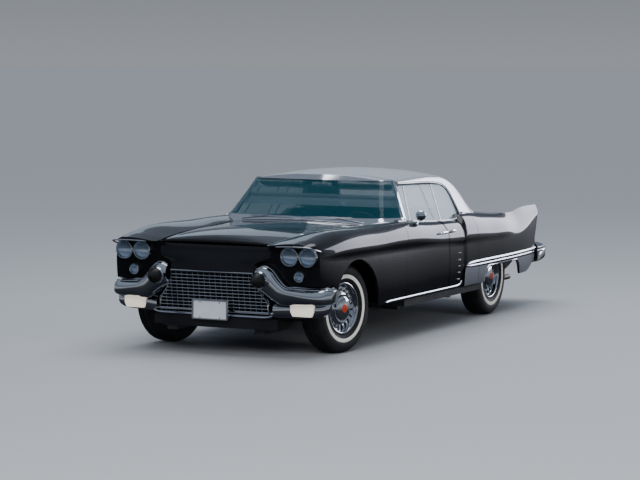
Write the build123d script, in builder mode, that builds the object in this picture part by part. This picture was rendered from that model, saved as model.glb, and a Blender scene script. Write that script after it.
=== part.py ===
"""Full-size 1950s luxury four-door hardtop, millimetres, front toward -Y, left side +X, +Z up."""

from collections import namedtuple
from math import asin, atan2, cos, degrees, hypot, radians, sin, tan
import os

from build123d import *

os.makedirs("parts", exist_ok=True)

# Driving dimensions
WHEELBASE = 3200
FRONT_AXLE_Y = -1867
TRACK = 1549
TYRE_RADIUS = 366
TYRE_WIDTH = 208
RIM_RADIUS = 205
RIM_WIDTH = 170
KINGPIN_X = 668
STEER_REST = -9.35
PANEL_GAP = 6
SKIN = 26
DOOR_INNER_X = 800
DOOR_FOOT_Z = 352
SEAT_GAP = 0.3
GLASS = 5

# Shut lines along the body
SHUT_FRONT_Y = -900
SHUT_BELT_Y = -790
SHUT_BREAK_Z = 790
SHUT_MIDDLE_Y = 40
SHUT_REAR_Y = 697
BULGE_Y = 370
COWL_FRONT_Y = -1070
DECK_FRONT_Y = 1160
LID_BACK_Y = 2400

# Wheel openings and wells
FRONT_OPENING_RADIUS = 402
WELL_RADIUS = 436
WHEELHOUSE_RADIUS = 408
REAR_OPENING_TOP_Z = 500
REAR_OPENING_FRONT_Y = 836
REAR_OPENING_BACK_Y = 1800
REAR_OPENING_CORNER = 130

# Floor and frame levels
FRAME_FOOT_Z = 190
FLOOR_Z = 300
FLOOR_THICKNESS = 24
FLOOR_HALF_WIDTH = 780
FIREWALL_Y = -1010
POST_OUTER_X = 796
POST_TOP_Z = 930
TRUNK_FLOOR_Z = 470
BULKHEAD_Y = 812

# Worked out from the driving dimensions
REAR_AXLE_Y = FRONT_AXLE_Y + WHEELBASE
WHEEL_X = TRACK / 2
AXLE_Z = TYRE_RADIUS
HALF_GAP = PANEL_GAP / 2
FLOOR_TOP_Z = FLOOR_Z + FLOOR_THICKNESS


def rounding(start, end, share):
    """Height of an arc over its chord, where a share of 1 makes the arc level at its upper end."""
    run = abs(end[0] - start[0])
    rise = abs(end[1] - start[1])
    return share * hypot(run, rise) / 2 * tan(atan2(rise, run) / 2)


# Body side, one closed section per row, cut across the car
Side = namedtuple(
    "Side", "y sill_x sill_z crease_x crease_z crest_x crest_z inner_x inner_z shoulder valley belly"
)
FRONT_FLANK = [
    Side(-2612, 880, 560, 900, 850, 790, 936, 500, 905, 0.9, 1.0, 8),
    Side(-2430, 925, 500, 936, 812, 800, 962, 500, 930, 1.0, 1.0, 10),
    Side(-2050, 952, 352, 958, 802, 802, 1006, 542, 953, 1.0, 1.0, 14),
    Side(-1420, 966, 352, 966, 796, 806, 1006, 610, 962, 1.0, 1.0, 16),
    Side(-1000, 966, 352, 966, 791, 826, 1008, 652, 972, 0.9, 1.0, 16),
    Side(-620, 964, 352, 968, 784, 852, 1000, 720, 985, 0.7, 1.0, 15),
    Side(-100, 962, 352, 974, 764, 860, 968, 760, 968, 0.6, 1.0, 14),
    Side(400, 962, 352, 975, 734, 868, 950, 760, 950, 0.6, 1.0, 12),
    Side(760, 962, 352, 972, 722, 868, 948, 760, 948, 0.6, 1.0, 12),
]
REAR_FLANK = [
    Side(340, 984, 352, 986, 752, 876, 992, 760, 988, 0.5, 1.0, 8),
    Side(720, 986, 352, 990, 744, 866, 994, 740, 980, 0.5, 1.0, 8),
    Side(1060, 986, 352, 991, 738, 870, 966, 716, 930, 0.5, 0.6, 8),
    Side(1420, 984, 352, 989, 735, 874, 942, 700, 900, 0.5, 0.5, 8),
    Side(1800, 970, 352, 972, 752, 868, 940, 700, 890, 0.2, 0.3, 8),
    Side(2060, 952, 365, 948, 800, 862, 966, 700, 884, 0.1, 0.2, 10),
    Side(2300, 922, 450, 915, 862, 852, 972, 704, 876, 0.1, 0.2, 12),
    Side(2560, 884, 560, 884, 915, 843, 970, 708, 866, 0.1, 0.2, 6),
]


def refined(rows):
    """The rows with one more between each two, on a smooth curve through its four neighbours."""
    result = []
    for i, row in enumerate(rows[:-1]):
        before = rows[max(i - 1, 0)]
        after = rows[i + 1]
        beyond = rows[min(i + 2, len(rows) - 1)]
        span = after[0] - row[0]
        middle = []
        for a, b, c, d in zip(before, row, after, beyond):
            slope_in = (c - a) / (after[0] - before[0])
            slope_out = (d - b) / (beyond[0] - row[0])
            middle.append((b + c) / 2 + (slope_in - slope_out) * span / 8)
        result += [row, row._replace(**dict(zip(row._fields, middle)))]
    return result + [rows[-1]]


def side_section(row, inset=0.0, drop=0.0):
    """Closed section of a body side; inset thins it all round and drop lets its foot hang lower."""
    sill = (row.sill_x - inset, row.sill_z - drop)
    crease = (row.crease_x - inset, row.crease_z - inset / 3)
    crest = (row.crest_x - inset / 2, row.crest_z - inset)
    inner = (row.inner_x + inset, row.inner_z - inset)
    foot = (row.inner_x + inset, row.sill_z - drop)
    with BuildSketch(Plane.XZ.offset(-row.y)) as section:
        with BuildLine():
            Line(foot, sill)
            SagittaArc(sill, crease, -row.belly)
            SagittaArc(crease, crest, -rounding(crease, crest, row.shoulder))
            SagittaArc(crest, inner, -rounding(inner, crest, row.valley) - 1)
            Line(inner, foot)
        make_face()
    return section.sketch


def prism(points, low_x, high_x):
    """Side view outline, given as (y, z) points, carried across the car between two x values."""
    with BuildPart() as block:
        with BuildSketch(Plane.YZ.offset(low_x)):
            with BuildLine():
                Polyline(*points, close=True)
            make_face()
        extrude(amount=high_x - low_x)
    return block.part


def box(low, high):
    """Block between two opposite corners."""
    size = [b - a for a, b in zip(low, high)]
    with BuildPart() as block:
        with Locations(low):
            Box(*size, align=(Align.MIN, Align.MIN, Align.MIN))
    return block.part


def rod(start, end, radius):
    """Round bar between two points."""
    along = Vector(*end) - Vector(*start)
    with BuildPart() as bar:
        with BuildSketch(Plane(origin=start, z_dir=along)):
            Circle(radius)
        extrude(amount=along.length)
    return bar.part


def both(piece):
    """A piece and its mirror image on the other side of the car."""
    with BuildPart() as pair:
        add(piece)
        mirror(about=Plane.YZ)
    return pair.part


def write(piece, name):
    """Label a finished piece and write it to its file."""
    piece.label = name
    export_step(piece, f"parts/{name}.step")


def write_sides(piece, stem):
    """Write a left piece, and its mirror image as the right one."""
    write(piece, f"{stem}_left")
    with BuildPart() as right:
        add(mirror(piece, about=Plane.YZ, mode=Mode.PRIVATE))
    write(right.part, f"{stem}_right")


with BuildPart() as front_flank:
    loft([side_section(row) for row in refined(FRONT_FLANK)], ruled=True)
with BuildPart() as rear_flank:
    loft([side_section(row) for row in refined(REAR_FLANK)], ruled=True)

# Lamps in the fender ends: two headlamps and a fog lamp at each side
LAMP_Y = -2526
LENS_RADIUS = 68
BEZEL_RADIUS = 80
FOG_LENS_RADIUS = 34
FOG_RING_RADIUS = 45
Lamp = namedtuple("Lamp", "x y z lens ring")
LAMPS = [
    Lamp(836, LAMP_Y, 826, LENS_RADIUS, BEZEL_RADIUS),
    Lamp(674, LAMP_Y + 4, 826, LENS_RADIUS, BEZEL_RADIUS),
    Lamp(752, LAMP_Y + 14, 668, FOG_LENS_RADIUS, FOG_RING_RADIUS),
]

# Fenders: hollow body side ahead of the door, open below, with the wheel opening and lamp face
LAMP_FACE_Y = -2500
FENDER_OUTLINE = [
    (-2612, 1060),
    (-2612, 912),
    (LAMP_FACE_Y, 906),
    (LAMP_FACE_Y + 14, 590),
    (-2300, 590),
    (-2240, DOOR_FOOT_Z),
    (SHUT_FRONT_Y - HALF_GAP, DOOR_FOOT_Z),
    (SHUT_FRONT_Y - HALF_GAP, SHUT_BREAK_Z),
    (SHUT_BELT_Y - HALF_GAP, 1060),
]
with BuildPart() as lamp_panel:
    add(front_flank.part)
    add(box((400, LAMP_FACE_Y - 20, 560), (1000, LAMP_FACE_Y + 40, 1000)), mode=Mode.INTERSECT)
    add(box((396, LAMP_FACE_Y + 10, 590), (510, LAMP_FACE_Y + 30, 790)))
with BuildPart() as fender_left:
    add(front_flank.part)
    core = [side_section(row, SKIN, 300) for row in refined(FRONT_FLANK)]
    loft(core, ruled=True, mode=Mode.SUBTRACT)
    add(lamp_panel.part)
    add(prism(FENDER_OUTLINE, 390, 1100), mode=Mode.INTERSECT)
    with BuildSketch(Plane.YZ.offset(760)):
        with Locations((FRONT_AXLE_Y, AXLE_Z)):
            Circle(FRONT_OPENING_RADIUS)
    extrude(amount=400, mode=Mode.SUBTRACT)
    with BuildSketch(Plane.YZ.offset(400)):
        with Locations((FRONT_AXLE_Y, AXLE_Z)):
            Circle(WELL_RADIUS)
    extrude(amount=360, mode=Mode.SUBTRACT)
    for lamp in LAMPS:
        seat = rod((lamp.x, -2560, lamp.z), (lamp.x, -2400, lamp.z), lamp.ring + SEAT_GAP)
        add(seat, mode=Mode.SUBTRACT)
    post_space = box((600, FIREWALL_Y - 1, 300), (POST_OUTER_X + 3, -700, POST_TOP_Z + 2))
    add(post_space, mode=Mode.SUBTRACT)
write_sides(fender_left.part, "fender")

# Door glass plane, leaning inward from the belt to the roof
GlassLine = namedtuple("GlassLine", "y foot_x foot_z head_x head_z")
GLASS_LINES = [
    GlassLine(-760, 842, 940, 676, 1320),
    GlassLine(760, 842, 940, 664, 1320),
]
FRONT_GLASS_OUTLINE = [(-590, 1004), (-543, 1160), (-498, 1300), (30, 1292), (34, 950), (-560, 950)]
REAR_GLASS_OUTLINE = [
    (50, 950),
    (42, 1290),
    (190, 1284),
    (400, 1268),
    (500, 1246),
    (560, 1206),
    (588, 1140),
    (596, 1060),
    (600, 950),
]


def glass_wall(spread):
    """Thin leaning slab that holds the door glasses, wider on both faces by the spread."""
    sections = []
    for line in GLASS_LINES:
        with BuildSketch(Plane.XZ.offset(-line.y)) as strip:
            with BuildLine():
                Polyline(
                    (line.foot_x + spread, line.foot_z),
                    (line.head_x + spread, line.head_z),
                    (line.head_x - GLASS - spread, line.head_z),
                    (line.foot_x - GLASS - spread, line.foot_z),
                    close=True,
                )
            make_face()
        sections.append(strip.sketch)
    with BuildPart() as wall:
        loft(sections, ruled=True)
    return wall.part


GLASS_WALL = glass_wall(0)
GLASS_SLOT = glass_wall(SEAT_GAP)

# Bevels on the faces where two doors meet, so that each clears the other as it swings
FRONT_BEVEL = 20
REAR_BEVEL = 32


def bevel(face_y, depth):
    """Wedge that slants a door's meeting face from its outer skin to its inner edge."""
    with BuildPart() as wedge:
        with BuildSketch(Plane.XY):
            with BuildLine():
                Polyline((1010, face_y), (DOOR_INNER_X - 20, face_y), (DOOR_INNER_X - 20, face_y + depth), close=True)
            make_face()
        extrude(amount=1100)
    return wedge.part


# Doors: solid to the full thickness, with a slot along the belt that seats the glass
FRONT_DOOR_OUTLINE = [
    (SHUT_FRONT_Y + HALF_GAP, DOOR_FOOT_Z - 20),
    (SHUT_FRONT_Y + HALF_GAP, SHUT_BREAK_Z),
    (SHUT_BELT_Y + HALF_GAP, 1060),
    (SHUT_MIDDLE_Y - HALF_GAP, 1060),
    (SHUT_MIDDLE_Y - HALF_GAP, DOOR_FOOT_Z - 20),
]
REAR_DOOR_OUTLINE = [
    (SHUT_MIDDLE_Y + HALF_GAP, DOOR_FOOT_Z - 20),
    (SHUT_MIDDLE_Y + HALF_GAP, 1060),
    (SHUT_REAR_Y - HALF_GAP, 1060),
    (SHUT_REAR_Y - HALF_GAP, DOOR_FOOT_Z - 20),
]
BULGE_OUTLINE = [
    (BULGE_Y, DOOR_FOOT_Z - 20),
    (BULGE_Y - 12, 720),
    (BULGE_Y + 12, 860),
    (BULGE_Y + 60, 940),
    (BULGE_Y + 130, 1060),
    (BULGE_Y + 1000, 1060),
    (BULGE_Y + 1000, DOOR_FOOT_Z - 20),
]
with BuildPart() as door_front_left:
    add(front_flank.part)
    add(prism(FRONT_DOOR_OUTLINE, DOOR_INNER_X, 1100), mode=Mode.INTERSECT)
    add(bevel(SHUT_MIDDLE_Y - HALF_GAP, -FRONT_BEVEL), mode=Mode.SUBTRACT)
    add(GLASS_SLOT, mode=Mode.SUBTRACT)
write_sides(door_front_left.part, "door_front")

with BuildPart() as bulge:
    add(rear_flank.part)
    add(prism(BULGE_OUTLINE, 600, 1100), mode=Mode.INTERSECT)
with BuildPart() as door_rear_left:
    add(front_flank.part)
    add(bulge.part)
    add(prism(REAR_DOOR_OUTLINE, DOOR_INNER_X, 1100), mode=Mode.INTERSECT)
    add(bevel(SHUT_MIDDLE_Y + HALF_GAP, REAR_BEVEL), mode=Mode.SUBTRACT)
    add(GLASS_SLOT, mode=Mode.SUBTRACT)
write_sides(door_rear_left.part, "door_rear")

with BuildPart() as glass_front_left:
    add(GLASS_WALL)
    add(prism(FRONT_GLASS_OUTLINE, 600, 900), mode=Mode.INTERSECT)
write_sides(glass_front_left.part, "glass_front")
with BuildPart() as glass_rear_left:
    add(GLASS_WALL)
    add(prism(REAR_GLASS_OUTLINE, 600, 900), mode=Mode.INTERSECT)
write_sides(glass_rear_left.part, "glass_rear")

# Quarters: hollow body side behind the doors, up to the fin, with the wide rear wheel opening
QUARTER_OUTLINE = [
    (SHUT_REAR_Y + HALF_GAP, DOOR_FOOT_Z),
    (SHUT_REAR_Y + HALF_GAP, 1060),
    (2540, 1060),
    (2540, 968),
    (2430, 800),
    (2330, 664),
    (2330, 430),
    (2230, 380),
    (2160, DOOR_FOOT_Z),
]
QUARTER_CAP = [
    (2540, 1060),
    (2540, 968),
    (2430, 800),
    (2330, 664),
    (2330, 300),
    (2306, 300),
    (2306, 672),
    (2404, 808),
    (2506, 968),
    (2506, 1060),
]
HINGE_LEVELS = (440, 690)
HINGE_HEIGHT = 60
with BuildPart() as quarter_cap:
    add(rear_flank.part)
    add(prism(QUARTER_CAP, 600, 1100), mode=Mode.INTERSECT)
with BuildPart() as quarter_left:
    add(rear_flank.part)
    core = [side_section(row, SKIN, 300) for row in refined(REAR_FLANK)]
    loft(core, ruled=True, mode=Mode.SUBTRACT)
    add(quarter_cap.part)
    add(prism(QUARTER_OUTLINE, 600, 1100), mode=Mode.INTERSECT)
    with BuildSketch(Plane.YZ.offset(780)):
        with BuildLine():
            FilletPolyline(
                (REAR_OPENING_FRONT_Y - 40, DOOR_FOOT_Z - 60),
                (REAR_OPENING_FRONT_Y + 60, REAR_OPENING_TOP_Z),
                (REAR_OPENING_BACK_Y - 60, REAR_OPENING_TOP_Z),
                (REAR_OPENING_BACK_Y + 30, DOOR_FOOT_Z - 60),
                radius=REAR_OPENING_CORNER,
            )
            Line(
                (REAR_OPENING_BACK_Y + 30, DOOR_FOOT_Z - 60),
                (REAR_OPENING_FRONT_Y - 40, DOOR_FOOT_Z - 60),
            )
        make_face()
    extrude(amount=400, mode=Mode.SUBTRACT)
    with BuildSketch(Plane.YZ.offset(600)):
        with Locations((REAR_AXLE_Y, AXLE_Z)):
            Circle(WELL_RADIUS - 30)
    extrude(amount=300, mode=Mode.SUBTRACT)
    for z in HINGE_LEVELS:
        leaf_front_y = SHUT_REAR_Y - HALF_GAP + SEAT_GAP
        add(box((750, leaf_front_y, z), (850, SHUT_REAR_Y + 60, z + HINGE_HEIGHT)))
write_sides(quarter_left.part, "quarter")

# Roof sections across the car, foot at the belt, soft edge over the doors, crown at the middle
Arch = namedtuple("Arch", "y foot_x edge_x edge_z crown_z corner")
ROOF = [
    Arch(-700, 858, 690, 1322, 1376, 60),
    Arch(-300, 858, 686, 1336, 1402, 60),
    Arch(100, 858, 678, 1344, 1410, 60),
    Arch(420, 857, 668, 1338, 1398, 60),
    Arch(620, 856, 666, 1318, 1374, 60),
    Arch(780, 854, 680, 1258, 1318, 55),
    Arch(880, 846, 716, 1166, 1236, 50),
    Arch(970, 828, 754, 1060, 1130, 40),
    Arch(1060, 806, 780, 985, 1036, 20),
]
ROOF_FOOT_Z = 948
ROOF_SKIN = 26


def roof_section(row, inset=0.0):
    """Closed arch across the car, thinner all round by the inset and then with a lower foot."""
    foot_z = ROOF_FOOT_Z - inset
    with BuildSketch(Plane.XZ.offset(-row.y)) as section:
        with BuildLine():
            Polyline(
                (-row.edge_x + inset, row.edge_z - inset),
                (-row.foot_x + inset, foot_z),
                (row.foot_x - inset, foot_z),
                (row.edge_x - inset, row.edge_z - inset),
            )
            ThreePointArc(
                (row.edge_x - inset, row.edge_z - inset),
                (0, row.crown_z - inset),
                (-row.edge_x + inset, row.edge_z - inset),
            )
        make_face()
        top = section.vertices().filter_by(lambda v: v.Y > foot_z + 5)
        fillet(top, radius=row.corner)
    return section.sketch


def roof_body(inset=0.0):
    """Solid greenhouse, thinner all round by the inset."""
    with BuildPart() as body:
        loft([roof_section(row, inset) for row in refined(ROOF)], ruled=True)
    return body.part


# Windshield plan outline at a height, a full arc in the middle and tighter arcs round the corners
SCREEN_FOOT_Z = 1012
Screen = namedtuple("Screen", "z middle_y corner_x corner_y end_x end_y wrap")
SCREEN = [
    Screen(SCREEN_FOOT_Z, -1002, 630, -920, 826, -600, 76),
    Screen(1400, -600, 500, -568, 638, -474, 18),
]


def screen_outline(row, inset=0.0):
    """Plan outline of the space behind the windshield at one height."""
    with BuildSketch(Plane.XY.offset(row.z)) as outline:
        with BuildLine():
            ThreePointArc(
                (-row.corner_x + inset / 2, row.corner_y + inset),
                (0, row.middle_y + inset),
                (row.corner_x - inset / 2, row.corner_y + inset),
            )
            SagittaArc(
                (row.corner_x - inset / 2, row.corner_y + inset),
                (row.end_x - inset, row.end_y),
                -row.wrap,
            )
            Line((row.end_x - inset, row.end_y), (-row.end_x + inset, row.end_y))
            SagittaArc(
                (-row.end_x + inset, row.end_y),
                (-row.corner_x + inset / 2, row.corner_y + inset),
                -row.wrap,
            )
        make_face()
    return outline.sketch


def screen_body(inset=0.0):
    """Solid behind the windshield's outer face, closed by a flat back."""
    with BuildPart() as body:
        loft([screen_outline(row, inset) for row in SCREEN])
    return body.part


FRAME_OUT = 8
FRAME_IN = 18
SCREEN_OPENING = [(-1100, 1030), (-640, 1030), (-510, 1336), (-1100, 1336)]
SCREEN_GLASS = [(-1100, 1022), (-632, 1022), (-502, 1346), (-1100, 1346)]
with BuildPart() as windshield:
    add(screen_body(0))
    add(screen_body(GLASS + 1), mode=Mode.SUBTRACT)
    add(prism(SCREEN_GLASS, -1000, 1000), mode=Mode.INTERSECT)
write(windshield.part, "windshield")

ROOF_SOLID = roof_body()
with BuildPart() as over_roof:
    add(box((-1000, -690, 1300), (1000, -400, 1500)))
    add(ROOF_SOLID, mode=Mode.SUBTRACT)
with BuildPart() as frame_skirt:
    with BuildSketch(Plane.XY.offset(SCREEN_FOOT_Z)):
        add(screen_outline(SCREEN[0], -FRAME_OUT).moved(Location((0, 0, -SCREEN_FOOT_Z))))
        add(screen_outline(SCREEN[0], FRAME_IN).moved(Location((0, 0, -SCREEN_FOOT_Z))), mode=Mode.SUBTRACT)
    extrude(amount=-50)
    add(box((-1000, -1100, 900), (1000, SHUT_BELT_Y - HALF_GAP, 1100)), mode=Mode.INTERSECT)
    add(box((0, -1100, 900), (1000, SHUT_BELT_Y - HALF_GAP, 1100)), mode=Mode.INTERSECT)
    add(front_flank.part, mode=Mode.SUBTRACT)
    mirror(about=Plane.YZ)
with BuildPart() as windshield_frame:
    add(screen_body(-FRAME_OUT))
    add(screen_body(FRAME_IN), mode=Mode.SUBTRACT)
    add(over_roof.part, mode=Mode.SUBTRACT)
    add(frame_skirt.part)
    add(prism(SCREEN_OPENING, -1000, 1000), mode=Mode.SUBTRACT)
    add(windshield.part, mode=Mode.SUBTRACT)
write(windshield_frame.part, "windshield_frame")

# Roof shell: open at the front for the windshield, at the sides for the door glass, and behind
SIDE_OPENING = [
    (-1000, 900),
    (-1000, 1308),
    (-440, 1308),
    (30, 1298),
    (200, 1292),
    (400, 1276),
    (508, 1254),
    (568, 1212),
    (596, 1146),
    (604, 1060),
    (608, 1004),
    (SHUT_REAR_Y + HALF_GAP, 1004),
    (SHUT_REAR_Y + HALF_GAP, 900),
]
BACKLIGHT_FOOT_Z = 990
BACKLIGHT = [(-560, BACKLIGHT_FOOT_Z), (560, BACKLIGHT_FOOT_Z), (470, 1290), (-470, 1290)]


def backlight_prism():
    """Rear view outline of the backlight, carried forward through the back of the roof."""
    with BuildPart() as block:
        with BuildSketch(Plane.XZ.offset(-1300)) as back_opening:
            with BuildLine():
                Polyline(*BACKLIGHT, close=True)
            make_face()
            fillet(back_opening.vertices(), radius=60)
        extrude(amount=560)
    return block.part


with BuildPart() as screen_cut:
    add(box((-1000, -1200, 900), (1000, -470, 1500)))
    add(screen_body(FRAME_IN), mode=Mode.SUBTRACT)
with BuildPart() as roof_half:
    add(ROOF_SOLID)
    add(roof_body(ROOF_SKIN), mode=Mode.SUBTRACT)
    add(box((0, -800, 900), (1000, 1100, 1500)), mode=Mode.INTERSECT)
    add(screen_cut.part, mode=Mode.SUBTRACT)
    add(prism(SIDE_OPENING, 0, 1000), mode=Mode.SUBTRACT)
    add(backlight_prism(), mode=Mode.SUBTRACT)
    add(front_flank.part, mode=Mode.SUBTRACT)
    add(rear_flank.part, mode=Mode.SUBTRACT)
with BuildPart() as roof:
    add(roof_half.part.solids().sort_by(SortBy.VOLUME)[-1])
    mirror(about=Plane.YZ)
write(roof.part, "roof")


# Backlight: thin shell on the roof's own form, seated round its opening
BACKLIGHT_INSET = 10
with BuildPart() as backlight:
    add(roof_body(BACKLIGHT_INSET))
    add(roof_body(BACKLIGHT_INSET + GLASS), mode=Mode.SUBTRACT)
    add(backlight_prism(), mode=Mode.INTERSECT)
write(backlight.part, "backlight")


def flank_at(rows, y):
    """Body side values at any place along the car, from the refined rows."""
    fine = refined(rows)
    for low, high in zip(fine, fine[1:]):
        if low.y <= y <= high.y:
            share = (y - low.y) / (high.y - low.y)
            return low._replace(**{k: a + (b - a) * share for k, a, b in zip(low._fields, low, high)})
    raise ValueError(f"no body side at y {y}")


Rise = namedtuple("Rise", "y rise")
LID_SKIN = 22
HOOD_FRONT_Y = -2496
HOOD_RISE = [
    Rise(HOOD_FRONT_Y, 10),
    Rise(-2450, 26),
    Rise(-2300, 36),
    Rise(-2050, 42),
    Rise(-1700, 42),
    Rise(-1380, 38),
    Rise(COWL_FRONT_Y - PANEL_GAP, 33),
]
COWL_RISE = [Rise(COWL_FRONT_Y, 33), Rise(-860, 30), Rise(-640, 24)]
DECK_RISE = [Rise(1010, 22), Rise(DECK_FRONT_Y - PANEL_GAP, 34)]
TRUNK_RISE = [
    Rise(DECK_FRONT_Y, 34),
    Rise(1420, 40),
    Rise(1800, 38),
    Rise(2100, 34),
    Rise(2300, 26),
    Rise(LID_BACK_Y, 14),
]


def lid_section(rows, row, gap):
    """Arched strip across the car between the two body sides, less a gap at each side."""
    edge = flank_at(rows, row.y)
    half = edge.inner_x - gap
    with BuildSketch(Plane.XZ.offset(-row.y)) as section:
        with BuildLine():
            ThreePointArc((-half, edge.inner_z), (0, edge.inner_z + row.rise), (half, edge.inner_z))
            Line((half, edge.inner_z), (half, edge.inner_z - LID_SKIN))
            ThreePointArc(
                (half, edge.inner_z - LID_SKIN),
                (0, edge.inner_z + row.rise - LID_SKIN),
                (-half, edge.inner_z - LID_SKIN),
            )
            Line((-half, edge.inner_z - LID_SKIN), (-half, edge.inner_z))
        make_face()
    return section.sketch


def lid(rows, rises, gap):
    """Panel lofted through its sections."""
    with BuildPart() as panel:
        loft([lid_section(rows, row, gap) for row in rises], ruled=True)
    return panel.part


hood = lid(FRONT_FLANK, HOOD_RISE, PANEL_GAP)
write(hood, "hood")

# Cowl: top panel, firewall and the posts that carry the front doors
POST_INNER_X = 700
with BuildPart() as cowl:
    add(lid(FRONT_FLANK, COWL_RISE, PANEL_GAP))
    add(box((-POST_INNER_X, FIREWALL_Y, FLOOR_TOP_Z), (POST_INNER_X, FIREWALL_Y + 20, POST_TOP_Z)))
    add(box((-600, FIREWALL_Y, POST_TOP_Z), (600, FIREWALL_Y + 20, 976)))
    post = box((POST_INNER_X, FIREWALL_Y, FLOOR_TOP_Z), (POST_OUTER_X, SHUT_FRONT_Y, POST_TOP_Z))
    add(both(post))
    for z in HINGE_LEVELS:
        leaf_back_y = SHUT_FRONT_Y + HALF_GAP - SEAT_GAP
        add(both(box((POST_OUTER_X - 20, -960, z), (850, leaf_back_y, z + HINGE_HEIGHT))))
    for x in (-530, 514):
        with BuildPart(mode=Mode.PRIVATE) as hood_rest:
            add(box((x, -1110, 930), (x + 16, FIREWALL_Y, 1000)))
            add(hood.moved(Location((0, 0, -SEAT_GAP))), mode=Mode.SUBTRACT)
            add(box((x, COWL_FRONT_Y - PANEL_GAP, 962), (x + 16, FIREWALL_Y, 1000)), mode=Mode.SUBTRACT)
        add(hood_rest.part.solids().sort_by(Axis.Z)[0])
    add(box((-150, -1100, FLOOR_Z), (150, -900, FLOOR_TOP_Z + 110)), mode=Mode.SUBTRACT)
    add(windshield_frame.part, mode=Mode.SUBTRACT)
write(cowl.part, "cowl")

# Grille plane: leans with its foot further back
GRILLE_TOP_Z = 686
GRILLE_LEAN = 8
GRILLE_DEPTH = 30
GRILLE_BACK_RISE = GRILLE_DEPTH * sin(radians(GRILLE_LEAN))

# Nose panel between the lamps, down to the grille, as plan sections by height
Nose = namedtuple("Nose", "z half edge_y middle_y")
NOSE = [
    Nose(GRILLE_TOP_Z + GRILLE_BACK_RISE + SEAT_GAP, 384, -2556, -2590),
    Nose(750, 394, -2541, -2574),
    Nose(790, 484, -2528, -2560),
    Nose(850, 497, -2506, -2538),
    Nose(890, 497, -2484, -2512),
]
with BuildPart() as nose_panel:
    sections = []
    for row in NOSE:
        with BuildSketch(Plane.XY.offset(row.z)) as strip:
            with BuildLine():
                ThreePointArc((-row.half, row.edge_y), (0, row.middle_y), (row.half, row.edge_y))
                Line((row.half, row.edge_y), (row.half, row.edge_y + SKIN))
                ThreePointArc(
                    (row.half, row.edge_y + SKIN),
                    (0, row.middle_y + SKIN),
                    (-row.half, row.edge_y + SKIN),
                )
                Line((-row.half, row.edge_y + SKIN), (-row.half, row.edge_y))
            make_face()
        sections.append(strip.sketch)
    loft(sections, ruled=True)
write(nose_panel.part, "nose_panel")

# Deck behind the cabin, with the shelf, the seat bulkhead and the tail panel under the lid
with BuildPart() as deck_panels:
    add(lid(REAR_FLANK, DECK_RISE, 1))
    add(box((-698, BULKHEAD_Y, 900), (698, 1020, 912)))
    add(box((-698, BULKHEAD_Y, TRUNK_FLOOR_Z + 20), (698, BULKHEAD_Y + 18, 912)))
    add(box((-698, 1012, 900), (698, 1030, 940)))
LID_FACE = [
    (LID_BACK_Y - 2, 884),
    (LID_BACK_Y + 44, 640),
    (LID_BACK_Y + 44 - LID_SKIN, 640),
    (LID_BACK_Y - 2 - LID_SKIN, 850),
]
with BuildPart() as trunk_lid:
    add(lid(REAR_FLANK, TRUNK_RISE, PANEL_GAP))
    add(prism(LID_FACE, -694, 694))
write(trunk_lid.part, "trunk_lid")
with BuildPart() as rear_deck:
    add(deck_panels.part)
    for x in (-530, 514):
        add(box((x, 1100, 880), (x + 16, 1190, 916)))
    add(trunk_lid.part.moved(Location((0, 0, -SEAT_GAP))), mode=Mode.SUBTRACT)
write(rear_deck.part, "rear_deck")

# Floor: pan with tunnel, sills under the doors, wheelhouses and the trunk floor
SILL_HEIGHT = 58
with BuildPart() as floor_pan:
    add(box((-FLOOR_HALF_WIDTH, FIREWALL_Y, FLOOR_Z), (FLOOR_HALF_WIDTH, 830, FLOOR_TOP_Z)))
    add(box((-150, FIREWALL_Y + 20, FLOOR_TOP_Z), (150, BULKHEAD_Y, FLOOR_TOP_Z + 110)))
    add(box((-680, BULKHEAD_Y, FLOOR_TOP_Z), (680, BULKHEAD_Y + 18, TRUNK_FLOOR_Z)))
    add(box((-120, FIREWALL_Y - 5, FLOOR_Z - 5), (120, 840, FLOOR_TOP_Z + 84)), mode=Mode.SUBTRACT)
    for side in (-1, 1):
        low_x, high_x = sorted((side * FLOOR_HALF_WIDTH, side * 956))
        low = (low_x, SHUT_FRONT_Y, DOOR_FOOT_Z - PANEL_GAP - SILL_HEIGHT)
        add(box(low, (high_x, 820, DOOR_FOOT_Z - PANEL_GAP)))
    add(box((-650, BULKHEAD_Y, TRUNK_FLOOR_Z), (650, 2384, TRUNK_FLOOR_Z + 20)))
    add(box((-698, 2384, TRUNK_FLOOR_Z), (698, 2404, 632)))
    for side in (-1, 1):
        with BuildSketch(Plane.YZ.offset(side * 640)):
            with Locations((REAR_AXLE_Y, AXLE_Z)):
                Circle(WHEELHOUSE_RADIUS + 12)
        extrude(amount=side * 58)
    for side in (-1, 1):
        with BuildSketch(Plane.YZ.offset(side * 650)):
            with Locations((REAR_AXLE_Y, AXLE_Z)):
                Circle(WHEELHOUSE_RADIUS)
        extrude(amount=side * 60, mode=Mode.SUBTRACT)
    add(box((-760, 850, -100), (760, 1800, TRUNK_FLOOR_Z)), mode=Mode.SUBTRACT)
write(floor_pan.part, "floor_pan")

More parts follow.
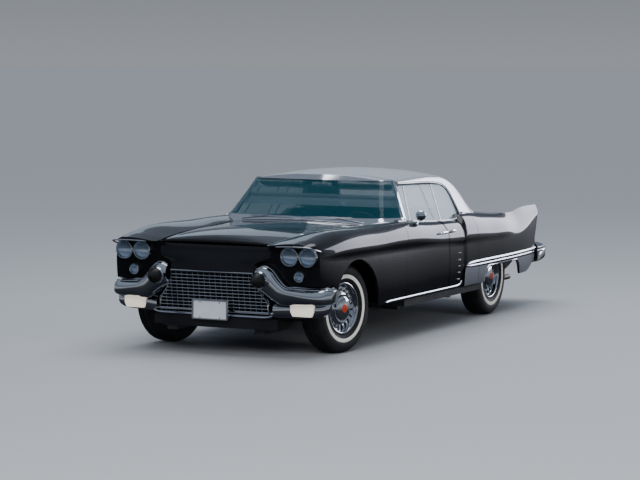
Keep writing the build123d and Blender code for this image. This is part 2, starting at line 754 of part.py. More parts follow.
# Chassis: rails that run from the bumpers to a narrow waist at the middle
PIPE_X = 600
PIPE_Z = 250
PIPE_RADIUS = 26
RAIL_WIDTH = 90
RAIL_HEIGHT = 100
RAIL_TOP_Z = FRAME_FOOT_Z + RAIL_HEIGHT
RAIL_KICK_Z = 412
RAIL_PLAN = [(400, -2480), (400, -1300), (190, -700), (190, -100), (480, 640), (480, 760)]
with BuildPart() as chassis_frame:
    for start, end in zip(RAIL_PLAN, RAIL_PLAN[1:]):
        along = Vector(end[0] - start[0], end[1] - start[1], 0)
        with BuildSketch(Plane(origin=(start[0], start[1], FRAME_FOOT_Z), x_dir=along, z_dir=(0, 0, 1))):
            with Locations((along.length / 2, 0)):
                Rectangle(along.length + RAIL_WIDTH / 2, RAIL_WIDTH)
        extrude(amount=RAIL_HEIGHT)
    with BuildSketch(Plane.YZ.offset(480 - RAIL_WIDTH / 2)):
        with BuildLine():
            Polyline(
                (700, FRAME_FOOT_Z),
                (700, RAIL_TOP_Z),
                (960, RAIL_TOP_Z),
                (1100, 470),
                (1560, 470),
                (1720, 400),
                (2480, 400),
                (2480, 310),
                (1700, 310),
                (1540, RAIL_KICK_Z),
                (1140, RAIL_KICK_Z),
                (1020, FRAME_FOOT_Z),
                close=True,
            )
        make_face()
    extrude(amount=RAIL_WIDTH)
    mirror(about=Plane.YZ)
    add(box((-400, -1920, 200), (400, -1810, 270)))
    add(box((-190, -420, FRAME_FOOT_Z), (190, -300, RAIL_TOP_Z)))
    add(box((-480, 1620, 320), (480, 1690, 390)))
    add(box((-480, 2380, 320), (480, 2440, 390)))
    add(both(box((300, 2420, 330), (400, 2500 - SEAT_GAP, 480))))
    add(both(box((400, -2500, 220), (480, -2420, 346))))
    add(both(box((200, -640, 230), (FLOOR_HALF_WIDTH - 2, -590, FLOOR_Z))))
    add(both(box((200, 500, 230), (FLOOR_HALF_WIDTH - 2, 550, FLOOR_Z))))
    for side in (-1, 1):
        pipe_space = rod((side * PIPE_X, -700, PIPE_Z), (side * PIPE_X, 700, PIPE_Z), PIPE_RADIUS + 4)
        add(pipe_space, mode=Mode.SUBTRACT)
write(chassis_frame.part, "chassis_frame")

with BuildPart() as engine:
    add(box((-250, -2050, 330), (250, -1330, 860)))
    add(box((-100, -1910, 270 + SEAT_GAP), (100, -1820, 330)))
    add(box((-150, -1330, 240), (150, FIREWALL_Y - PANEL_GAP, 560)))
    add(box((-110, FIREWALL_Y - PANEL_GAP, 250), (110, -700, 400)))
write(engine.part, "engine")
write(box((-400, -2400, RAIL_TOP_Z), (400, -2330, 870)), "radiator")
write(box((-420, 1860, 330), (420, 2300, TRUNK_FLOOR_Z)), "fuel_tank")

ARM_LOW_Z = 262
ARM_HIGH_Z = 500
ARM_HALF = 14
# Front suspension arms on the cross member, and the steered knuckles
with BuildPart() as front_suspension:
    for x_side in (-1, 1):
        for z, root_x in ((ARM_LOW_Z, 445), (ARM_HIGH_Z, 430)):
            with BuildSketch(Plane.XY.offset(z - ARM_HALF)):
                with BuildLine():
                    Polyline(
                        (x_side * root_x, FRONT_AXLE_Y - 120),
                        (x_side * (KINGPIN_X + 12), FRONT_AXLE_Y - 24),
                        (x_side * (KINGPIN_X + 12), FRONT_AXLE_Y + 24),
                        (x_side * root_x, FRONT_AXLE_Y + 120),
                        close=True,
                    )
                make_face()
            extrude(amount=2 * ARM_HALF)
        add(rod((x_side * 520, FRONT_AXLE_Y, ARM_LOW_Z), (x_side * 520, FRONT_AXLE_Y, ARM_HIGH_Z), 50))
        low_x, high_x = sorted((x_side * 360, x_side * 430))
        add(box((low_x, FRONT_AXLE_Y - 120, RAIL_TOP_Z), (high_x, FRONT_AXLE_Y + 120, 620)))
write(front_suspension.part, "front_suspension")


def kingpin(side):
    """Kingpin axis point at the height of the axle."""
    return Vector(side * KINGPIN_X, FRONT_AXLE_Y, AXLE_Z)


def wheel_frame(side, steered):
    """Wheel centre and its outward direction."""
    turn = radians(STEER_REST if steered else 0)
    outward = Vector(side * cos(turn), side * sin(turn), 0)
    if steered:
        return kingpin(side) + outward * (WHEEL_X - KINGPIN_X), outward
    return Vector(side * WHEEL_X, REAR_AXLE_Y, AXLE_Z), outward


def turned(points, centre, outward):
    """Solid of revolution about a wheel's axis; points are (distance outward, radius)."""
    with BuildPart() as solid:
        with BuildSketch(Plane(origin=centre, x_dir=outward, z_dir=outward.cross(Vector(0, 0, 1)))):
            with BuildLine():
                Polyline(*points, close=True)
            make_face()
        revolve(axis=Axis(centre, outward))
    return solid.part


TYRE_PROFILE = [
    (-72, RIM_RADIUS + SEAT_GAP),
    (-98, 250),
    (-TYRE_WIDTH / 2, 292),
    (-96, 338),
    (-72, 360),
    (-30, TYRE_RADIUS),
    (30, TYRE_RADIUS),
    (72, 360),
    (96, 338),
    (TYRE_WIDTH / 2, 292),
    (98, 250),
    (72, RIM_RADIUS + SEAT_GAP),
]
HUB_FACE = 44
SPINDLE_RADIUS = 24
DRUM_RADIUS = 150
RIM_PROFILE = [
    (-72, RIM_RADIUS),
    (-72, 192),
    (18, 188),
    (18, DRUM_RADIUS),
    (-36, DRUM_RADIUS),
    (-36, SPINDLE_RADIUS + 6),
    (HUB_FACE, SPINDLE_RADIUS + 6),
    (HUB_FACE, 0),
    (96, 0),
    (92, 46),
    (78, 96),
    (56, 140),
    (52, 176),
    (86, 196),
    (86, 210),
    (80, 214),
    (73, RIM_RADIUS),
]
VANE_SLOTS = 20
SLOT_WIDTH = 13
SLOT_INNER_RADIUS = 138
SLOT_OUTER_RADIUS = 180
SLOT_FLOOR = 40
for side, name in ((1, "left"), (-1, "right")):
    for steered, end in ((True, "front"), (False, "rear")):
        centre, outward = wheel_frame(side, steered)
        write(turned(TYRE_PROFILE, centre, outward), f"tyre_{end}_{name}")
        with BuildPart() as wheel:
            add(turned(RIM_PROFILE, centre, outward))
            with BuildSketch(Plane(origin=centre + outward * SLOT_FLOOR, z_dir=outward)):
                with PolarLocations((SLOT_INNER_RADIUS + SLOT_OUTER_RADIUS) / 2, VANE_SLOTS):
                    Rectangle(SLOT_OUTER_RADIUS - SLOT_INNER_RADIUS, SLOT_WIDTH)
            extrude(amount=SLOT_FLOOR, mode=Mode.SUBTRACT)
        write(wheel.part, f"wheel_{end}_{name}")
    centre, outward = wheel_frame(side, True)
    with BuildPart() as knuckle:
        pin = kingpin(side)
        foot = Vector(pin.X, pin.Y, ARM_LOW_Z + ARM_HALF + SEAT_GAP)
        head = Vector(pin.X, pin.Y, ARM_HIGH_Z - ARM_HALF - SEAT_GAP)
        add(rod(foot, head, 22))
        add(rod(pin, centre + outward * (HUB_FACE - SEAT_GAP), SPINDLE_RADIUS))
    write(knuckle.part, f"knuckle_{name}")

# Rear axle with its springs and the propeller shaft
with BuildPart() as rear_axle:
    axle_end = WHEEL_X + HUB_FACE - SEAT_GAP
    add(rod((-axle_end, REAR_AXLE_Y, AXLE_Z), (axle_end, REAR_AXLE_Y, AXLE_Z), SPINDLE_RADIUS))
    add(rod((-640, REAR_AXLE_Y, AXLE_Z), (640, REAR_AXLE_Y, AXLE_Z), 40))
    add(rod((0, REAR_AXLE_Y - 150, AXLE_Z), (0, REAR_AXLE_Y + 130, AXLE_Z), 100))
    add(rod((0, -699, 334), (0, REAR_AXLE_Y - 100, AXLE_Z), 36))
    for side in (-1, 1):
        add(rod((side * 480, REAR_AXLE_Y, AXLE_Z), (side * 480, REAR_AXLE_Y, RAIL_KICK_Z - SEAT_GAP), 60))
write(rear_axle.part, "rear_axle")

# Exhaust: two pipes with their silencers
with BuildPart() as exhaust:
    for side in (-1, 1):
        add(rod((side * (250 + SEAT_GAP), -1440, 345), (side * PIPE_X, -1180, 345), PIPE_RADIUS))
        add(rod((side * PIPE_X, -1180, 345), (side * PIPE_X, -1060, PIPE_Z), PIPE_RADIUS))
        add(rod((side * PIPE_X, -1060, PIPE_Z), (side * PIPE_X, 2470, PIPE_Z), PIPE_RADIUS))
        add(rod((side * PIPE_X, -300, PIPE_Z), (side * PIPE_X, 300, PIPE_Z), 48))
    add(engine.part, mode=Mode.SUBTRACT)
write(exhaust.part, "exhaust")

# Grille: egg crate in a leaning frame
GRILLE_PITCH_X = 51
GRILLE_PITCH_Z = 28
GRILLE_BAR = 7
grille_plane = Plane(
    origin=(0, -2574, GRILLE_TOP_Z),
    x_dir=(1, 0, 0),
    z_dir=(0, -cos(radians(GRILLE_LEAN)), -sin(radians(GRILLE_LEAN))),
)
with BuildPart() as grille:
    with BuildSketch(grille_plane) as face:
        half_outline = [(374, 0), (384, -60), (430, -150), (492, -230), (500, -330)]
        with BuildLine():
            Polyline(*half_outline, *[(-x, z) for x, z in reversed(half_outline)], close=True)
        make_face()
    with BuildSketch(grille_plane, mode=Mode.PRIVATE) as holes:
        with Locations((0, -165)):
            with GridLocations(GRILLE_PITCH_X, GRILLE_PITCH_Z, 19, 11):
                Rectangle(GRILLE_PITCH_X - GRILLE_BAR, GRILLE_PITCH_Z - GRILLE_BAR)
        with BuildLine():
            inner = [(x - 10, z) for x, z in half_outline]
            Polyline(*inner, *[(-x, z) for x, z in reversed(inner)], close=True)
        make_face(mode=Mode.INTERSECT)
    extrude(amount=-GRILLE_DEPTH)
    extrude(holes.sketch, amount=-GRILLE_DEPTH, mode=Mode.SUBTRACT)
write(grille.part, "grille")

# Plate holder on the lower bar, with the four holes of a licence plate
PLATE_Z = 376
with BuildPart() as plate_holder:
    add(box((-165, -2598, PLATE_Z - 80), (165, -2580, PLATE_Z + 80)))
    add(box((-120, -2580, 322), (120, -2560, 342)))
    with BuildSketch(Plane.XZ.offset(2598)):
        with Locations((0, PLATE_Z)):
            with GridLocations(178, 121, 2, 2):
                Circle(3.5)
    extrude(amount=-18, mode=Mode.SUBTRACT)
write(plate_holder.part, "plate_holder")

# Valance under the front bumper's lower bar, bowed forward in the middle
VALANCE_HALF = 560
VALANCE_SKIN = 6
LOW_BAR_FOOT_Z = 318
with BuildPart() as front_valance:
    with BuildSketch(Plane.XY.offset(232)):
        with BuildLine():
            ThreePointArc((-VALANCE_HALF, -2508), (0, -2552), (VALANCE_HALF, -2508))
            Line((VALANCE_HALF, -2508), (VALANCE_HALF, -2508 + VALANCE_SKIN))
            ThreePointArc(
                (VALANCE_HALF, -2508 + VALANCE_SKIN),
                (0, -2552 + VALANCE_SKIN),
                (-VALANCE_HALF, -2508 + VALANCE_SKIN),
            )
            Line((-VALANCE_HALF, -2508 + VALANCE_SKIN), (-VALANCE_HALF, -2508))
        make_face()
    extrude(amount=LOW_BAR_FOOT_Z - SEAT_GAP - 232)
write(front_valance.part, "front_valance")

# Front bumper: winged sections across the car, each (x, front, back, top, nose, low)
Wing = namedtuple("Wing", "x front back top nose low")
FRONT_WING = [
    Wing(404, -2606, -2546, 720, 640, 560),
    Wing(470, -2620, -2510, 748, 640, 520),
    Wing(540, -2616, -2506, 716, 610, 470),
    Wing(600, -2606, -2506, 640, 560, 440),
    Wing(660, -2598, -2506, 588, 540, 434),
    Wing(700, -2590, -2440, 584, 530, 430),
    Wing(850, -2560, -2380, 580, 505, 430),
    Wing(950, -2500, -2316, 578, 494, 436),
    Wing(990, -2400, -2280, 560, 494, 460),
]
FRONT_POD = [
    Wing(530, -2530, -2440, 452, 390, 328),
    Wing(640, -2484, -2410, 452, 395, 326),
    Wing(761, -2466, -2392, 452, 400, 328),
    Wing(880, -2460, -2386, 452, 400, 338),
    Wing(940, -2438, -2370, 450, 405, 362),
    Wing(966, -2396, -2346, 450, 415, 392),
]


def wing_section(row):
    """Full-bellied section of a bumper blade at one distance from the middle, flat behind."""
    bevel = (row.back - row.front) / 4
    with BuildSketch(Plane.YZ.offset(row.x)) as section:
        with BuildLine():
            Line((row.back, row.top), (row.front + bevel, row.top))
            ThreePointArc((row.front + bevel, row.top), (row.front, row.nose), (row.front + bevel, row.low))
            Line((row.front + bevel, row.low), (row.back, row.low))
            Line((row.back, row.low), (row.back, row.top))
        make_face()
    return section.sketch


def wing(rows):
    """Bumper blade lofted outward through its sections."""
    with BuildPart() as blade:
        loft([wing_section(row) for row in refined(rows)], ruled=True)
    return blade.part


DAGMAR_X = 469
DAGMAR_Z = 639
with BuildPart() as bumper_front:
    add(wing(FRONT_WING))
    add(wing(FRONT_POD))
    add(rod((DAGMAR_X, -2540, DAGMAR_Z), (DAGMAR_X, -2660, DAGMAR_Z), 66))
    mirror(about=Plane.YZ)
    add(box((-540, -2560, LOW_BAR_FOOT_Z), (540, -2500, 346)))
    add(grille.part, mode=Mode.SUBTRACT)
write(bumper_front.part, "bumper_front")

with BuildPart() as bumper_tips:
    with BuildSketch(Plane(origin=(DAGMAR_X, -2660, DAGMAR_Z), x_dir=(0, -1, 0), z_dir=(1, 0, 0))):
        with BuildLine():
            Polyline((SEAT_GAP, 0), (SEAT_GAP, 60), (20, 60), (74, 26), (90, 0), close=True)
        make_face()
    revolve(axis=Axis((DAGMAR_X, -2660, DAGMAR_Z), (0, -1, 0)))
    mirror(about=Plane.YZ)
write(bumper_tips.part, "bumper_tips")

# Lamps seated in the fender ends, and their rings
LENS_CROWN = 12
LENS_DEPTH = 30
with BuildPart() as headlamps:
    for lamp in LAMPS:
        rim = lamp.lens - SEAT_GAP
        dome = (rim**2 + LENS_CROWN**2) / (2 * LENS_CROWN)
        with BuildSketch(Plane(origin=(lamp.x, lamp.y, lamp.z), x_dir=(0, -1, 0), z_dir=(1, 0, 0))):
            with BuildLine():
                Polyline((LENS_CROWN, 0), (-LENS_DEPTH, 0), (-LENS_DEPTH, rim), (0, rim))
                CenterArc((LENS_CROWN - dome, 0), dome, 0, degrees(asin(rim / dome)))
            make_face()
        revolve(axis=Axis((lamp.x, lamp.y, lamp.z), (0, -1, 0)))
    mirror(about=Plane.YZ)
write(headlamps.part, "headlamps")
with BuildPart() as lamp_bezels:
    for lamp in LAMPS:
        add(rod((lamp.x, lamp.y + 40, lamp.z), (lamp.x, lamp.y - 4, lamp.z), lamp.ring))
    for lamp in LAMPS:
        add(rod((lamp.x, lamp.y + 60, lamp.z), (lamp.x, lamp.y - 9, lamp.z), lamp.lens), mode=Mode.SUBTRACT)
    mirror(about=Plane.YZ)
write(lamp_bezels.part, "lamp_bezels")
with BuildPart() as parking_lamps:
    with BuildSketch(Plane.XZ.offset(2420)) as lens:
        with Locations((761, 399)):
            Rectangle(206, 104)
        fillet(lens.vertices().group_by(Axis.Y)[0], radius=34)
    extrude(amount=64)
    mirror(about=Plane.YZ)
    add(bumper_front.part, mode=Mode.SUBTRACT)
write(parking_lamps.part, "parking_lamps")

# Rear bumper and tail lamps
REAR_WING = [
    Wing(0, 2604, 2500, 560, 505, 440),
    Wing(300, 2602, 2500, 560, 505, 440),
    Wing(560, 2610, 2508, 572, 500, 428),
    Wing(700, 2656, 2520, 596, 498, 406),
    Wing(790, 2722, 2520, 600, 498, 398),
    Wing(850, 2736, 2500, 598, 500, 402),
    Wing(905, 2690, 2440, 578, 500, 416),
    Wing(940, 2600, 2380, 560, 500, 430),
]
with BuildPart() as bumper_rear:
    add(wing(REAR_WING))
    mirror(about=Plane.YZ)
    add(both(quarter_left.part), mode=Mode.SUBTRACT)
    add(trunk_lid.part, mode=Mode.SUBTRACT)
write(bumper_rear.part, "bumper_rear")
with BuildPart() as tail_lens:
    add(rod((800, 2370, 748), (800, 2426, 748), 50))
    add(quarter_left.part, mode=Mode.SUBTRACT)
with BuildPart() as tail_lamps:
    add(tail_lens.part.solids().sort_by(Axis.Y)[-1])
    rim = tail_lamps.edges().group_by(Axis.Y)[-1]
    fillet(rim, radius=16)
    mirror(about=Plane.YZ)
write(tail_lamps.part, "tail_lamps")

# Cabin: dashboard with its column, steering wheel, seats and mirrors
COLUMN_X = 390
with BuildPart() as dashboard:
    add(box((-698, -880, 780), (698, -700, 928)))
    add(box((-698, FIREWALL_Y + 20, 640), (698, -860, 928)))
    add(rod((COLUMN_X, -900, 720), (COLUMN_X, -560, 850), 30))
write(dashboard.part, "dashboard")
column_end = Vector(COLUMN_X, -560, 850)
column_way = Vector(0, 340, 130).normalized()
wheel_centre = column_end + column_way * 40
with BuildPart() as steering_wheel:
    rim_point = wheel_centre + Vector(205, 0, 0)
    with BuildSketch(Plane(origin=rim_point, x_dir=(1, 0, 0), z_dir=Vector(1, 0, 0).cross(column_way))):
        Circle(14)
    revolve(axis=Axis(wheel_centre, column_way))
    add(rod(wheel_centre - Vector(205, 0, 0), wheel_centre + Vector(205, 0, 0), 12))
    add(rod(column_end + column_way * SEAT_GAP, wheel_centre + column_way * 14, 40))
write(steering_wheel.part, "steering_wheel")
SEAT_HALF = 690
with BuildPart() as front_seat:
    add(box((-SEAT_HALF, -420, 440), (SEAT_HALF, 100, 600)))
    add(box((-SEAT_HALF, 20, 600), (SEAT_HALF, 150, 900)))
    add(box((-SEAT_HALF + 60, -380, 434 + SEAT_GAP), (SEAT_HALF - 60, 60, 440)))
write(front_seat.part, "front_seat")
with BuildPart() as rear_seat:
    add(box((-SEAT_HALF + 60, 330, FLOOR_TOP_Z + 110 + SEAT_GAP), (SEAT_HALF - 60, 780, 600)))
    add(box((-SEAT_HALF + 60, 650, 600), (SEAT_HALF - 60, 780, 890)))
write(rear_seat.part, "rear_seat")
with BuildPart() as rear_view_mirror:
    add(box((-95, -560, 1262), (95, -540, 1322)))
    add(rod((0, -560, 1300), (0, -640, 1352), 7))
    add(windshield_frame.part, mode=Mode.SUBTRACT)
write(rear_view_mirror.part, "rear_view_mirror")
with BuildPart() as door_mirror:
    add(rod((880, -560, 905), (905, -470, 1010), 9))
    add(rod((906, -490, 1040), (906, -440, 1040), 48))
    add(door_front_left.part, mode=Mode.SUBTRACT)
write(door_mirror.part, "door_mirror")
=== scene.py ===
"""Full-size finned hardtop car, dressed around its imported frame. Metres, front toward -Y, +X its left."""

import math
from collections import namedtuple

import bmesh
import bpy
from mathutils import Matrix, Vector


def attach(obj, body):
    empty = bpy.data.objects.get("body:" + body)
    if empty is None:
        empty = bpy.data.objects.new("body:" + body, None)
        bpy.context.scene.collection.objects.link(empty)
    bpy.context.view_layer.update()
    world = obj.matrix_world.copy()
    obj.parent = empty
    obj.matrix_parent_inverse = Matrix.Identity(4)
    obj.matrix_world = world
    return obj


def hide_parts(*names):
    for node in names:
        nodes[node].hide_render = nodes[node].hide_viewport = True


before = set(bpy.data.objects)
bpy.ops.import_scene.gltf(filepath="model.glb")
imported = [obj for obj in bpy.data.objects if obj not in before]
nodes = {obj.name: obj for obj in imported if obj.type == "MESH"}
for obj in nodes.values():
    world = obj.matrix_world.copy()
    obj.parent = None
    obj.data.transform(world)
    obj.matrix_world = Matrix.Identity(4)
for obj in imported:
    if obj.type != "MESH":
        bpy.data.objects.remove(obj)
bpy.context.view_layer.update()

# Studio: a pale painted floor under a dome that is dark below the horizon, a wide soft sun, boxes beside
# and behind the car that draw the long highlights, one over it and two that light matt surfaces only.
CAMERA_PLACE = Vector((8.626, -18.383, 2.363))
CAMERA_YAW = math.radians(25.85)
CAMERA_PITCH = math.radians(4.52)
CAMERA_ROLL = math.radians(0.29)
LENS_MM = 126.8
FAR_CLIP = 2000
SENSOR_MM = 36
ahead = Vector((-math.sin(CAMERA_YAW), math.cos(CAMERA_YAW), 0))
forward = ahead * math.cos(CAMERA_PITCH) - Vector((0, 0, math.sin(CAMERA_PITCH)))
level_right = forward.cross(Vector((0, 0, 1))).normalized()
level_up = level_right.cross(forward)
right = level_right * math.cos(CAMERA_ROLL) + level_up * math.sin(CAMERA_ROLL)
up = level_up * math.cos(CAMERA_ROLL) - level_right * math.sin(CAMERA_ROLL)
camera_data = bpy.data.cameras.new("camera")
camera_data.sensor_width = SENSOR_MM
camera_data.lens = LENS_MM
camera_data.clip_end = FAR_CLIP
camera = bpy.data.objects.new("camera", camera_data)
bpy.context.scene.collection.objects.link(camera)
axes = Matrix((right, up, -forward)).transposed()
camera.matrix_world = Matrix.Translation(CAMERA_PLACE) @ axes.to_4x4()
bpy.context.scene.camera = camera


def set_stops(ramp, stops):
    """Colours of a ramp at their places."""
    while len(ramp.elements) < len(stops):
        ramp.elements.new(0.5)
    for stop, (place, colour) in zip(ramp.elements, stops):
        stop.position = place
        stop.color = (*colour, 1)


class Wire:
    """One output of a shader node, so that shader maths reads as plain sums."""

    def __init__(self, finish, socket):
        self.finish = finish
        self.socket = socket

    def maths(self, operation, *others):
        return self.finish.node("ShaderNodeMath", {"operation": operation}, dict(enumerate(others)))

    def __add__(self, other):
        return self.maths("ADD", self, other)

    def __mul__(self, other):
        return self.maths("MULTIPLY", self, other)

    __radd__ = __add__
    __rmul__ = __mul__


class Finish:
    """A material whose plain values sit on its shader and whose changing values are wired to it.

    Its drift is (low, high, scale) of the roughness, its shades are (first, second, scale) and its grain
    is (scale, detail, strength, depth); each may end with a stretch.
    """

    def __init__(self, name, colour, roughness, drift=None, shades=None, grain=None, **plain):
        self.material = bpy.data.materials.new(name)
        self.material.use_nodes = True
        self.tree = self.material.node_tree
        self.shader = self.tree.nodes["Principled BSDF"]
        self.shader.inputs["Base Color"].default_value = (*colour, 1)
        self.shader.inputs["Roughness"].default_value = roughness
        for words, value in plain.items():
            self.shader.inputs[words.replace("_", " ").title().replace("Ior", "IOR")].default_value = value
        if drift:
            self.vary("Roughness", *drift)
        if shades:
            self.mottle(*shades)
        if grain:
            scale, detail, strength, depth, *stretch = grain
            self.bump(self.noise(scale, detail, *stretch), strength, depth)

    def node(self, kind, settings=None, values=None, out=0):
        """New node with plain settings, and with values or wires on its sockets."""
        made = self.tree.nodes.new(kind)
        for key, value in (settings or {}).items():
            if key == "stops":
                set_stops(made.color_ramp, value)
            else:
                setattr(made, key, value)
        for key, value in (values or {}).items():
            if isinstance(value, Wire):
                self.tree.links.new(value.socket, made.inputs[key])
            else:
                made.inputs[key].default_value = value
        return Wire(self, made.outputs[out])

    def wire(self, socket, value):
        """Wire a value to one of the shader's sockets."""
        self.tree.links.new(value.socket, self.shader.inputs[socket])
        return self

    def place(self):
        """Place on the object at rest, in metres."""
        return self.node("ShaderNodeTexCoord", out=3)

    def noise(self, scale, detail=3, stretch=(1, 1, 1)):
        spread = self.node("ShaderNodeMapping", values={0: self.place(), 3: stretch})
        return self.node("ShaderNodeTexNoise", values={"Vector": spread, "Scale": scale, "Detail": detail})

    def vary(self, socket, low, high, scale, stretch=(1, 1, 1)):
        """A plain number that drifts between two values over the surface."""
        return self.wire(socket, self.noise(scale, 3, stretch) * (high - low) + low)

    def mottle(self, first, second, scale, stretch=(1, 1, 1)):
        """Colour that drifts between two shades."""
        stops = {"stops": [(0.3, first), (0.7, second)]}
        ramp = self.node("ShaderNodeValToRGB", stops, {0: self.noise(scale, 3, stretch)})
        return self.wire("Base Color", ramp)

    def bump(self, height, strength, distance):
        sizes = {"Height": height, "Strength": strength, "Distance": distance}
        return self.wire("Normal", self.node("ShaderNodeBump", values=sizes))

    def edge_on(self, blend):
        """Nearly 0 for a face seen square on and 1 for one seen edge on."""
        return self.node("ShaderNodeLayerWeight", values={"Blend": blend}, out=1)

    def wave(self, settings, scale, distortion):
        sizes = {"Vector": self.place(), "Scale": scale, "Distortion": distortion}
        return self.node("ShaderNodeTexWave", settings, sizes)


def light_box(name, place, aim, size, power, colour, mirrored=True, spread=True):
    """Soft light; unmirrored it isn't seen in bright surfaces, unspread it is seen only in them."""
    lamp = bpy.data.lights.new(name, "AREA")
    lamp.shape = "RECTANGLE"
    lamp.size, lamp.size_y = size
    lamp.energy = power
    lamp.color = colour
    box = bpy.data.objects.new(name, lamp)
    bpy.context.scene.collection.objects.link(box)
    box.location = place
    box.rotation_euler = (Vector(aim) - Vector(place)).to_track_quat("-Z", "Y").to_euler()
    box.visible_glossy = mirrored
    box.visible_diffuse = spread


light_box("box_above", (0.0, 1.5, 7.5), (0, 0, 0.8), (6, 5), 260, (0.90, 0.94, 1))
light_box("box_side", (6.0, 14.0, 4.4), (0.5, 0, 0.8), (11, 6.8), 1000, (0.86, 0.87, 1), spread=False)
light_box("box_fill", (13.0, -5.0, 4.0), (0, 0, 0.5), (6, 4), 420, (1, 0.99, 0.97), mirrored=False)
light_box("box_behind", (-7.5, 14.0, 5.4), (0, 0, 0.8), (10, 3.4), 60, (0.7, 0.85, 1), spread=False)
light_box("box_front", (3.5, -13.0, 6.5), (0, -1.5, 0.4), (8, 5), 650, (1, 0.99, 0.98), mirrored=False)
sky_light = bpy.data.lights.new("sky_light", "SUN")
sky_light.energy = 1.5
sky_light.angle = math.radians(70)
sky = bpy.data.objects.new("sky_light", sky_light)
bpy.context.scene.collection.objects.link(sky)
sky.visible_glossy = False

world = bpy.data.worlds.new("dome")
bpy.context.scene.world = world
world.use_nodes = True
dome = world.node_tree
way = dome.nodes.new("ShaderNodeTexCoord")
split = dome.nodes.new("ShaderNodeSeparateXYZ")
shade = dome.nodes.new("ShaderNodeValToRGB")
DOME_STOPS = [
    (0.0, (0.012, 0.014, 0.02)),
    (0.42, (0.03, 0.035, 0.045)),
    (0.5, (0.34, 0.36, 0.39)),
    (0.56, (0.10, 0.12, 0.17)),
    (0.75, (0.22, 0.26, 0.33)),
]
DOME_STRENGTH = 0.9
HALF_RANGE = 0.5
set_stops(shade.color_ramp, DOME_STOPS)
dome.links.new(way.outputs["Generated"], split.inputs[0])
lift = dome.nodes.new("ShaderNodeMath")
lift.operation = "MULTIPLY_ADD"
lift.inputs[1].default_value = HALF_RANGE
lift.inputs[2].default_value = HALF_RANGE
dome.links.new(split.outputs["Z"], lift.inputs[0])
dome.links.new(lift.outputs[0], shade.inputs[0])
dome.links.new(shade.outputs[0], dome.nodes["Background"].inputs[0])
dome.nodes["Background"].inputs[1].default_value = DOME_STRENGTH

floor_mesh = bpy.data.meshes.new("studio_floor")
FLOOR_REACH = 600
corners = [(x * FLOOR_REACH, y * FLOOR_REACH, 0) for x, y in ((-1, -1), (1, -1), (1, 1), (-1, 1))]
floor_mesh.from_pydata(corners, [], [(0, 1, 2, 3)])
studio_floor = bpy.data.objects.new("studio_floor", floor_mesh)
bpy.context.scene.collection.objects.link(studio_floor)
floor_paint = Finish("floor_paint_pale", (0.46, 0.48, 0.5), 0.6, drift=(0.5, 0.7, 0.8))
floor_mesh.materials.append(floor_paint.material)
studio_floor.visible_glossy = False

# Black body sides: pressed steel fenders, doors and quarters in deep gloss black, each with its skin
# on the same long curves, so the highlights run on from panel to panel across the shut lines.
MM = 0.001
SKIN = 26
PANEL_GAP = 6
HALF_GAP = PANEL_GAP / 2
SHUT_FRONT_Y = -900
SHUT_BELT_Y = -790
SHUT_BREAK_Z = 790
SHUT_MIDDLE_Y = 40
SHUT_REAR_Y = 697
BULGE_Y = 370
DOOR_FOOT_Z = 352
DOOR_INNER_X = 800
FRONT_AXLE_Y = -1867
REAR_AXLE_Y = 1333
AXLE_Z = 366
Side = namedtuple(
    "Side", "y sill_x sill_z crease_x crease_z crest_x crest_z inner_x inner_z shoulder valley belly"
)
FRONT_FLANK = [
    Side(-2612, 880, 560, 900, 850, 790, 936, 500, 905, 0.9, 1.0, 8),
    Side(-2430, 925, 500, 936, 812, 800, 962, 500, 930, 1.0, 1.0, 10),
    Side(-2050, 952, 352, 958, 802, 802, 1006, 542, 953, 1.0, 1.0, 14),
    Side(-1420, 966, 352, 966, 796, 806, 1006, 610, 962, 1.0, 1.0, 16),
    Side(-1000, 966, 352, 966, 791, 826, 1008, 652, 972, 0.9, 1.0, 16),
    Side(-620, 964, 352, 968, 784, 852, 1000, 720, 985, 0.7, 1.0, 15),
    Side(-100, 962, 352, 974, 764, 860, 968, 760, 968, 0.6, 1.0, 14),
    Side(400, 962, 352, 975, 734, 868, 950, 760, 950, 0.6, 1.0, 12),
    Side(760, 962, 352, 972, 722, 868, 948, 760, 948, 0.6, 1.0, 12),
]
REAR_FLANK = [
    Side(340, 984, 352, 986, 752, 876, 992, 760, 988, 0.5, 1.0, 8),
    Side(720, 986, 352, 990, 744, 866, 994, 740, 980, 0.5, 1.0, 8),
    Side(1060, 986, 352, 991, 738, 870, 966, 716, 930, 0.5, 0.6, 8),
    Side(1420, 984, 352, 989, 735, 874, 942, 700, 900, 0.5, 0.5, 8),
    Side(1800, 970, 352, 972, 752, 868, 940, 700, 890, 0.2, 0.3, 8),
    Side(2060, 952, 365, 948, 800, 862, 966, 700, 884, 0.1, 0.2, 10),
    Side(2300, 922, 450, 915, 862, 852, 972, 704, 876, 0.1, 0.2, 12),
    Side(2560, 884, 560, 884, 915, 843, 970, 708, 866, 0.1, 0.2, 6),
]


def row_at(rows, y):
    """The row of values at any y, on a smooth curve through the table's rows."""
    i = max(k for k, row in enumerate(rows[:-1]) if row[0] <= y + 1e-6 or k == 0)
    before, low, high, beyond = rows[max(i - 1, 0)], rows[i], rows[i + 1], rows[min(i + 2, len(rows) - 1)]
    span = high[0] - low[0]
    t = (y - low[0]) / span
    values = []
    for a, b, c, d in zip(before, low, high, beyond):
        leave = (c - a) / (high[0] - before[0]) * span
        arrive = (d - b) / (beyond[0] - low[0]) * span
        values.append(
            (2 * t**3 - 3 * t**2 + 1) * b
            + (t**3 - 2 * t**2 + t) * leave
            + (3 * t**2 - 2 * t**3) * c
            + (t**3 - t**2) * arrive
        )
    return low._replace(**dict(zip(low._fields, values)))


